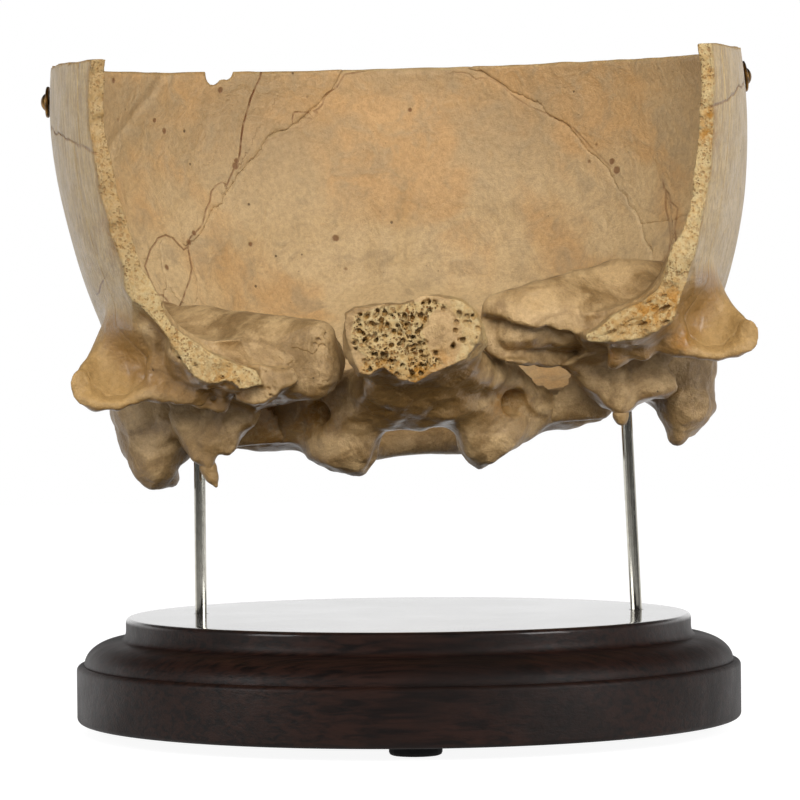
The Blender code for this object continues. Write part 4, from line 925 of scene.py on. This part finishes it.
class Net:
    # adds nodes to a tree; values may be numbers, colours or sockets
    def __init__(self, tree):
        self.tree = tree

    def add(self, kind, values=(), **settings):
        node = self.tree.nodes.new("ShaderNode" + kind)
        for key, value in settings.items():
            setattr(node, key, value)
        for key, value in dict(values).items():
            if hasattr(value, "is_linked"):
                self.tree.links.new(value, node.inputs[key])
            else:
                node.inputs[key].default_value = value
        return node

    def calc(self, operation, *values):
        return self.add("Math", enumerate(values), operation=operation).outputs[0]

    def plus(self, a, b):
        return self.calc("ADD", a, b)

    def less(self, a, b):
        return self.calc("SUBTRACT", a, b)

    def times(self, a, b):
        return self.calc("MULTIPLY", a, b)

    def most(self, a, b):
        return self.calc("MAXIMUM", a, b)

    def wire(self, node, values):
        for key, value in values.items():
            self.tree.links.new(value, node.inputs[key])

    def fade(self, value, low, high, start=0.0, end=1.0):
        ends = {0: value, 1: low, 2: high, 3: start, 4: end}
        return self.add("MapRange", ends, interpolation_type="SMOOTHSTEP").outputs[0]

    def mix(self, share, a, b, blend="MIX"):
        node = self.add("Mix", {0: share, 6: a, 7: b}, data_type="RGBA", blend_type=blend)
        return node.outputs[2]

    def scaled(self, vector, amounts):
        return self.add("VectorMath", {0: vector, 1: amounts}, operation="MULTIPLY").outputs[0]

    def noise(self, vector, scale, detail=3.0, roughness=0.55, distortion=0.0):
        values = {"Vector": vector, "Scale": scale, "Detail": detail, "Roughness": roughness}
        return self.add("TexNoise", {**values, "Distortion": distortion}).outputs[0]

    def specks(self, vector, scale, rarity, small, large):
        # round dots, one at most in a cell; rarity is the share of cells without one
        cell = self.add("TexVoronoi", {"Vector": vector, "Scale": scale})
        parts = self.add("SeparateColor", {0: cell.outputs["Color"]})
        size = self.fade(parts.outputs[0], rarity, 1.0, small, large)
        near = self.calc("SMOOTH_MIN", self.calc("DIVIDE", cell.outputs["Distance"], size), 1.0, 0.2)
        dot = self.fade(self.less(1.0, near), 0.0, 0.5)
        return self.times(self.calc("GREATER_THAN", parts.outputs[0], rarity), dot)


def newMaterial(name):
    material = bpy.data.materials.new(name)
    material.use_nodes = True
    material.node_tree.nodes.clear()
    net = Net(material.node_tree)
    out = net.add("OutputMaterial")
    shader = net.add("BsdfPrincipled")
    net.tree.links.new(shader.outputs[0], out.inputs[0])
    return material, net, shader


# bone tones; the upper inner wall's colour and the under colour are painted shade
bonePaint = {
    "inner": tone(190, 163, 121), "innerWarm": tone(182, 143, 94), "innerGrey": tone(158, 136, 103),
    "innerTopShade": tone(158, 131, 93), "outer": tone(186, 160, 114), "outerDark": tone(148, 121, 80),
    "basal": tone(172, 143, 100), "basalDark": tone(120, 93, 56), "cut": tone(180, 159, 115),
    "cutShade": tone(152, 123, 76), "cutHollow": tone(112, 70, 20), "waxy": tone(156, 124, 76),
    "under": tone(132, 98, 52), "rust": tone(142, 94, 14), "line": tone(98, 54, 18),
    "speck": tone(58, 36, 16),
}


def groupOf(name, inputs):
    # an empty group that takes the named inputs and puts out a surface; gives its net and its input sockets
    tree = bpy.data.node_groups.new(name, "ShaderNodeTree")
    outputs = {"Color": "Color", "Roughness": "Float", "Coat": "Float", "Height": "Float"}
    for way, sockets in (("INPUT", inputs), ("OUTPUT", outputs)):
        for label, kind in sockets.items():
            tree.interface.new_socket(label, in_out=way, socket_type="NodeSocket" + kind)
    return Net(tree), tree.nodes.new("NodeGroupInput").outputs


def putOut(net, colour, rough, coat, height):
    out = net.tree.nodes.new("NodeGroupOutput")
    net.wire(out, {"Color": colour, "Roughness": rough, "Coat": coat, "Height": height})
    return net.tree


def useGroup(net, shader, tree, inputs, strength, distance):
    # wires a surface group between its inputs and a shader, with its height as a bump
    group = net.add("Group", node_tree=tree)
    net.wire(group, inputs)
    bump = net.add("Bump", {"Height": group.outputs["Height"], "Strength": strength, "Distance": distance})
    net.wire(shader, {"Base Color": group.outputs["Color"], "Roughness": group.outputs["Roughness"],
                      "Coat Weight": group.outputs["Coat"], "Normal": bump.outputs[0]})


# the Under mask carries painted shade
boneMasks = ("Outside", "Cut", "Basal", "Under", "Rust", "Waxy")


def boneGroup():
    # the colour, roughness, coat and height of dry bone from its place in millimetres and its masks
    net, given = groupOf("dryBone", {"Place": "Vector", **{label: "Float" for label in (*boneMasks, "Line")}})
    place = given["Place"]
    broad = net.noise(place, 0.035, 3, 0.6, 0.4)
    middle = net.noise(place, 0.16, 4, 0.6, 0.8)
    small = net.noise(place, 0.9, 4, 0.65)
    grain = net.noise(place, 3.2, 3, 0.6)
    # inner table: painted shade darkening it towards the top, then warm and greyish clouds
    level = net.add("SeparateXYZ", {0: place}).outputs[2]
    colour = net.mix(net.fade(level, 18, 60), bonePaint["inner"], bonePaint["innerTopShade"])
    colour = net.mix(net.fade(broad, 0.44, 0.62, 0.0, 0.75), colour, bonePaint["innerWarm"])
    colour = net.mix(net.fade(middle, 0.45, 0.72, 0.0, 0.7), colour, bonePaint["innerGrey"])
    # outer table: fibres that run down the wall
    fibres = net.noise(net.scaled(place, (1.0, 0.55, 0.07)), 1.5, 4, 0.65, 0.3)
    fineFibres = net.noise(net.scaled(place, (1.0, 0.6, 0.05)), 4.0, 3, 0.6, 0.2)
    streak = net.plus(net.times(fibres, 0.65), net.times(fineFibres, 0.35))
    outer = net.mix(net.fade(streak, 0.32, 0.66), bonePaint["outerDark"], bonePaint["outer"])
    colour = net.mix(given["Outside"], colour, outer)
    # base: olive and brown blotches
    blotches = net.noise(place, 0.11, 5, 0.65, 1.0)
    basal = net.mix(net.fade(blotches, 0.36, 0.66), bonePaint["basalDark"], bonePaint["basal"])
    colour = net.mix(net.times(given["Basal"], 0.9), colour, basal)
    colour = net.mix(net.times(given["Waxy"], 0.85), colour, bonePaint["waxy"])
    # broken and sawn bone: pale walls around round cells of two sizes
    pores = net.most(net.specks(place, 0.85, 0.25, 0.2, 0.5), net.specks(place, 1.9, 0.3, 0.25, 0.6))
    hollow = net.times(pores, net.fade(middle, 0.4, 0.6, 0.45, 0.95))
    hollow = net.times(hollow, net.fade(given["Cut"], 0.6, 0.9, 0.35, 1.0))
    walls = net.mix(net.fade(small, 0.3, 0.7), bonePaint["cut"], bonePaint["cutShade"])
    cut = net.mix(hollow, walls, bonePaint["cutHollow"])
    colour = net.mix(net.fade(given["Cut"], 0.0, 0.6, 0.0, 0.95), colour, cut)
    # painted shade: the dark under colour on down-facing surfaces and in the painted shade bands
    colour = net.mix(net.times(given["Under"], 0.85), colour, bonePaint["under"])
    rusty = net.times(given["Rust"], net.fade(net.noise(place, 0.8, 4, 0.6, 0.5), 0.34, 0.56))
    colour = net.mix(rusty, colour, bonePaint["rust"])
    # small tonal grain, specks, smears and the drawn lines
    shade = net.plus(net.times(small, 0.6), net.times(grain, 0.4))
    tones = net.mix(net.fade(shade, 0.3, 0.7), tone(160, 158, 154), tone(210, 210, 210))
    colour = net.mix(0.6, colour, tones, "OVERLAY")
    fine = net.specks(place, 0.16, 0.45, 0.03, 0.075)
    tiny = net.specks(place, 0.42, 0.62, 0.03, 0.10)
    smear = net.times(net.fade(net.noise(place, 0.22, 5, 0.7, 1.5), 0.66, 0.76), 0.35)
    dark = net.most(net.times(fine, 0.75), net.times(tiny, 0.4))
    dark = net.most(dark, smear)
    colour = net.mix(dark, colour, bonePaint["speck"])
    colour = net.mix(given["Line"], colour, bonePaint["line"])
    # surface
    rough = net.plus(net.fade(middle, 0.3, 0.7, 0.40, 0.54), net.times(given["Outside"], -0.06))
    rough = net.plus(rough, net.times(given["Cut"], 0.22))
    rough = net.plus(rough, net.times(given["Under"], -0.14))
    height = net.plus(net.times(small, 0.5), net.times(middle, 1.7))
    height = net.plus(height, net.times(grain, 0.26))
    height = net.plus(height, net.times(net.times(streak, given["Outside"]), 1.5))
    lumps = net.noise(place, 0.5, 4, 0.6)
    height = net.plus(height, net.times(net.times(lumps, given["Basal"]), 1.1))
    height = net.less(height, net.times(net.times(hollow, given["Cut"]), 1.2))
    height = net.less(height, net.times(given["Line"], 0.5))
    height = net.less(height, net.times(dark, 0.3))
    coat = net.most(net.fade(given["Under"], 0.3, 1.0, 0.0, 0.45), net.times(given["Outside"], 0.12))
    return putOut(net, colour, rough, coat, height)


boneTree = boneGroup()


def attribute(net, name, vector=False):
    return net.add("Attribute", attribute_name=name).outputs["Vector" if vector else "Fac"]


def boneMaterial(name, spots=()):
    material, net, shader = newMaterial(name)
    place = attribute(net, "place", True)
    # drawn lines: seams, cracks and single dark spots
    noise = net.noise(place, 0.6, 3, 0.6)
    seam = net.fade(net.calc("ABSOLUTE", attribute(net, "seam")), 0.10, 0.34, 1.0, 0.0)
    seam = net.times(seam, attribute(net, "seamStrength"))
    crack = net.fade(net.calc("ABSOLUTE", attribute(net, "crack")), 0.06, 0.30, 1.0, 0.0)
    crack = net.times(crack, attribute(net, "crackStrength"))
    line = net.times(net.most(seam, crack), net.fade(noise, 0.3, 0.6, 0.45, 1.15))
    for x, y, z, radius in spots:
        off = net.add("VectorMath", {0: place, 1: (x, y, z)}, operation="DISTANCE").outputs["Value"]
        off = net.plus(off, net.times(noise, 0.5))
        line = net.most(line, net.fade(off, radius * 0.7 + 0.25, radius + 0.5, 0.75, 0.0))
    wires = {"Place": place, "Line": line}
    for label in boneMasks:
        wires[label] = attribute(net, label.lower())
    useGroup(net, shader, boneTree, wires, 1.0, 0.00035)
    shader.inputs["Coat Roughness"].default_value = 0.2
    return material


for name, (item, points) in bones.items():
    near = [spot for spot in marks["spots"] if np.min(np.abs(points.T[::7] - np.array(spot[:3])).sum(1)) < 6]
    item.data.materials.append(boneMaterial("bone_" + name, near))
print("bone materials made")


def woodGroup():
    # dark stained wood: grain along X, pores, and wear, from object places in metres
    net, given = groupOf("stainedWood", {"Place": "Vector"})
    place = given["Place"]
    grain = net.noise(net.scaled(place, (60, 900, 900)), 1.0, 5, 0.6, 0.6)
    pores = net.noise(net.scaled(place, (150, 2600, 2600)), 1.0, 3, 0.6)
    cloud = net.noise(place, 45.0, 4, 0.6)
    colour = net.mix(net.fade(grain, 0.32, 0.62), tone(9, 4, 3), tone(33, 17, 11))
    colour = net.mix(net.times(net.fade(cloud, 0.45, 0.7), 0.7), colour, tone(14, 8, 6))
    colour = net.mix(net.times(net.fade(pores, 0.58, 0.72), 0.6), colour, tone(16, 9, 8))
    rough = net.plus(net.fade(cloud, 0.3, 0.7, 0.26, 0.40), net.times(pores, 0.1))
    height = net.plus(net.times(grain, 0.35), net.times(pores, 0.35))
    height = net.plus(height, net.times(net.noise(place, 420.0, 3, 0.6), 0.5))
    polish = net.fade(net.add("SeparateXYZ", {0: place}).outputs[2], 0.0195, 0.0204)
    rough = net.less(net.plus(rough, 0.12), net.times(polish, 0.12))
    return putOut(net, colour, rough, polish, height)


woodMaterial, net, shader = newMaterial("stainedWood")
useGroup(net, shader, woodGroup(), {"Place": net.add("TexCoord").outputs["Object"]}, 0.8, 0.00016)
shader.inputs["Coat Roughness"].default_value = 0.10
shader.inputs["Specular IOR Level"].default_value = 0.28
woodenBase.data.materials.append(woodMaterial)


def drawnMetal(name, light, dark, roughness, grainScale):
    # bare metal, cloudy between two tones, with faint drawn lines along it
    material, net, shader = newMaterial(name)
    place = net.add("TexCoord").outputs["Object"]
    grain = net.noise(net.scaled(place, grainScale), 1.0, 3, 0.6)
    cloud = net.noise(place, 600.0, 3, 0.6)
    share = net.plus(net.times(grain, 0.4), net.times(cloud, 0.6))
    colour = net.mix(net.fade(share, 0.35, 0.65), dark, light)
    rough = net.fade(grain, 0.2, 0.8, roughness * 0.8, roughness * 1.3)
    net.wire(shader, {"Base Color": colour, "Roughness": rough})
    shader.inputs["Metallic"].default_value = 1
    return material


steelMaterial = drawnMetal("steel", tone(206, 203, 192), tone(186, 182, 170), 0.14, (3000, 3000, 40))
brassMaterial = drawnMetal("agedBrass", tone(150, 112, 58), tone(74, 52, 28), 0.34, (900, 900, 900))
for item in brassItems:
    item.data.materials.append(brassMaterial)
rubberMaterial, net, shader = newMaterial("rubber")
grain = net.noise(net.add("TexCoord").outputs["Object"], 900.0, 3, 0.6)
net.tree.links.new(net.mix(grain, tone(14, 14, 14), tone(28, 28, 28)), shader.inputs["Base Color"])
shader.inputs["Roughness"].default_value = 0.7
for name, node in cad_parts.items():
    for start, material in (("support_rod", steelMaterial), ("foot_pad", rubberMaterial)):
        if name.startswith(start):
            node.data.materials.clear()
            node.data.materials.append(material)
print("materials made")


# Camera, floor and light

# lens and sensor in millimetres, place in metres, turns about X and Z in degrees
view = {"lens": 162, "sensor": 36, "near": 0.01, "place": (-0.00125, -0.7205, 0.0661),
        "turns": (89.78, -0.56)}
camera = itemOf("camera", bpy.data.cameras.new("camera"))
camera.data.lens = view["lens"]
camera.data.sensor_width = view["sensor"]
camera.data.clip_start = view["near"]
tilt, roll = [Matrix.Rotation(math.radians(turn), 4, axis) for turn, axis in zip(view["turns"], "XZ")]
camera.matrix_world = Matrix.Translation(view["place"]) @ tilt @ roll
scene.camera = camera

floorMesh = bpy.data.meshes.new("floor")
corners = ((-1.2, -1.0), (1.2, -1.0), (1.2, 1.4), (-1.2, 1.4))
floorMesh.from_pydata([(x, y, -0.0026) for x, y in corners], [], [(0, 1, 2, 3)])
floor = itemOf("floor", floorMesh)
floorMaterial, net, shader = newMaterial("floor")
shader.inputs["Base Color"].default_value = (0.30, 0.30, 0.30, 1)
shader.inputs["Roughness"].default_value = 0.9
shader.inputs["Specular IOR Level"].default_value = 0.0
# white for the camera; mirrors see it white behind the object and dark in front
seen = net.add("LightPath")
behind = net.add("SeparateXYZ", {0: net.add("TexCoord").outputs["Object"]}).outputs[1]
mirrored = net.times(seen.outputs["Is Glossy Ray"], net.fade(behind, -0.15, 0.10))
pale = net.most(seen.outputs["Is Camera Ray"], mirrored)
shader.inputs["Emission Color"].default_value = (1, 1, 1, 1)
net.tree.links.new(net.times(pale, 0.92), shader.inputs["Emission Strength"])
floorMesh.materials.append(floorMaterial)


# lamps: place and size in metres, power, and whether mirrors see it
lamps = {
    "key": ((0.06, -0.70, 0.42), (0.5, 0.4), 6.6, False),
    "right": ((0.62, -0.42, 0.26), (0.25, 0.4), 2.4, True),
    "left": ((-0.62, -0.42, 0.26), (0.25, 0.4), 1.7, True),
}
aim = Vector((0, 0.03, 0.08))
for name, (place, size, power, mirrored) in lamps.items():
    lamp = bpy.data.lights.new(name, "AREA")
    lamp.shape = "RECTANGLE"
    lamp.size, lamp.size_y = size
    lamp.energy = power
    item = itemOf(name, lamp)
    item.location = place
    item.rotation_euler = (aim - Vector(place)).to_track_quat("-Z", "Y").to_euler()
    item.visible_glossy = mirrored


world = bpy.data.worlds.new("world")
scene.world = world
world.use_nodes = True
world.node_tree.nodes.clear()
net = Net(world.node_tree)
seen = net.add("LightPath")
# soft light mostly from above; the camera sees plain white, and mirrors see it behind the object only
sky = net.add("SeparateXYZ", {0: net.add("TexCoord").outputs["Generated"]})
light = net.fade(sky.outputs[2], -0.35, 0.75, 0.05, 0.40)
band = net.fade(net.calc("ABSOLUTE", sky.outputs[2]), 0.22, 0.42, 1.0, 0.0)
mirrored = net.plus(net.times(net.fade(sky.outputs[1], 0.2, 0.6), band), 0.04)
strength = net.plus(net.times(light, net.less(1.0, seen.outputs["Is Glossy Ray"])),
                    net.times(mirrored, seen.outputs["Is Glossy Ray"]))
strength = net.most(strength, seen.outputs["Is Camera Ray"])
background = net.add("Background", {0: (1, 1, 1, 1), 1: strength})
net.tree.links.new(background.outputs[0], net.add("OutputWorld").inputs[0])
scene.view_settings.view_transform = "Standard"

print("finished")
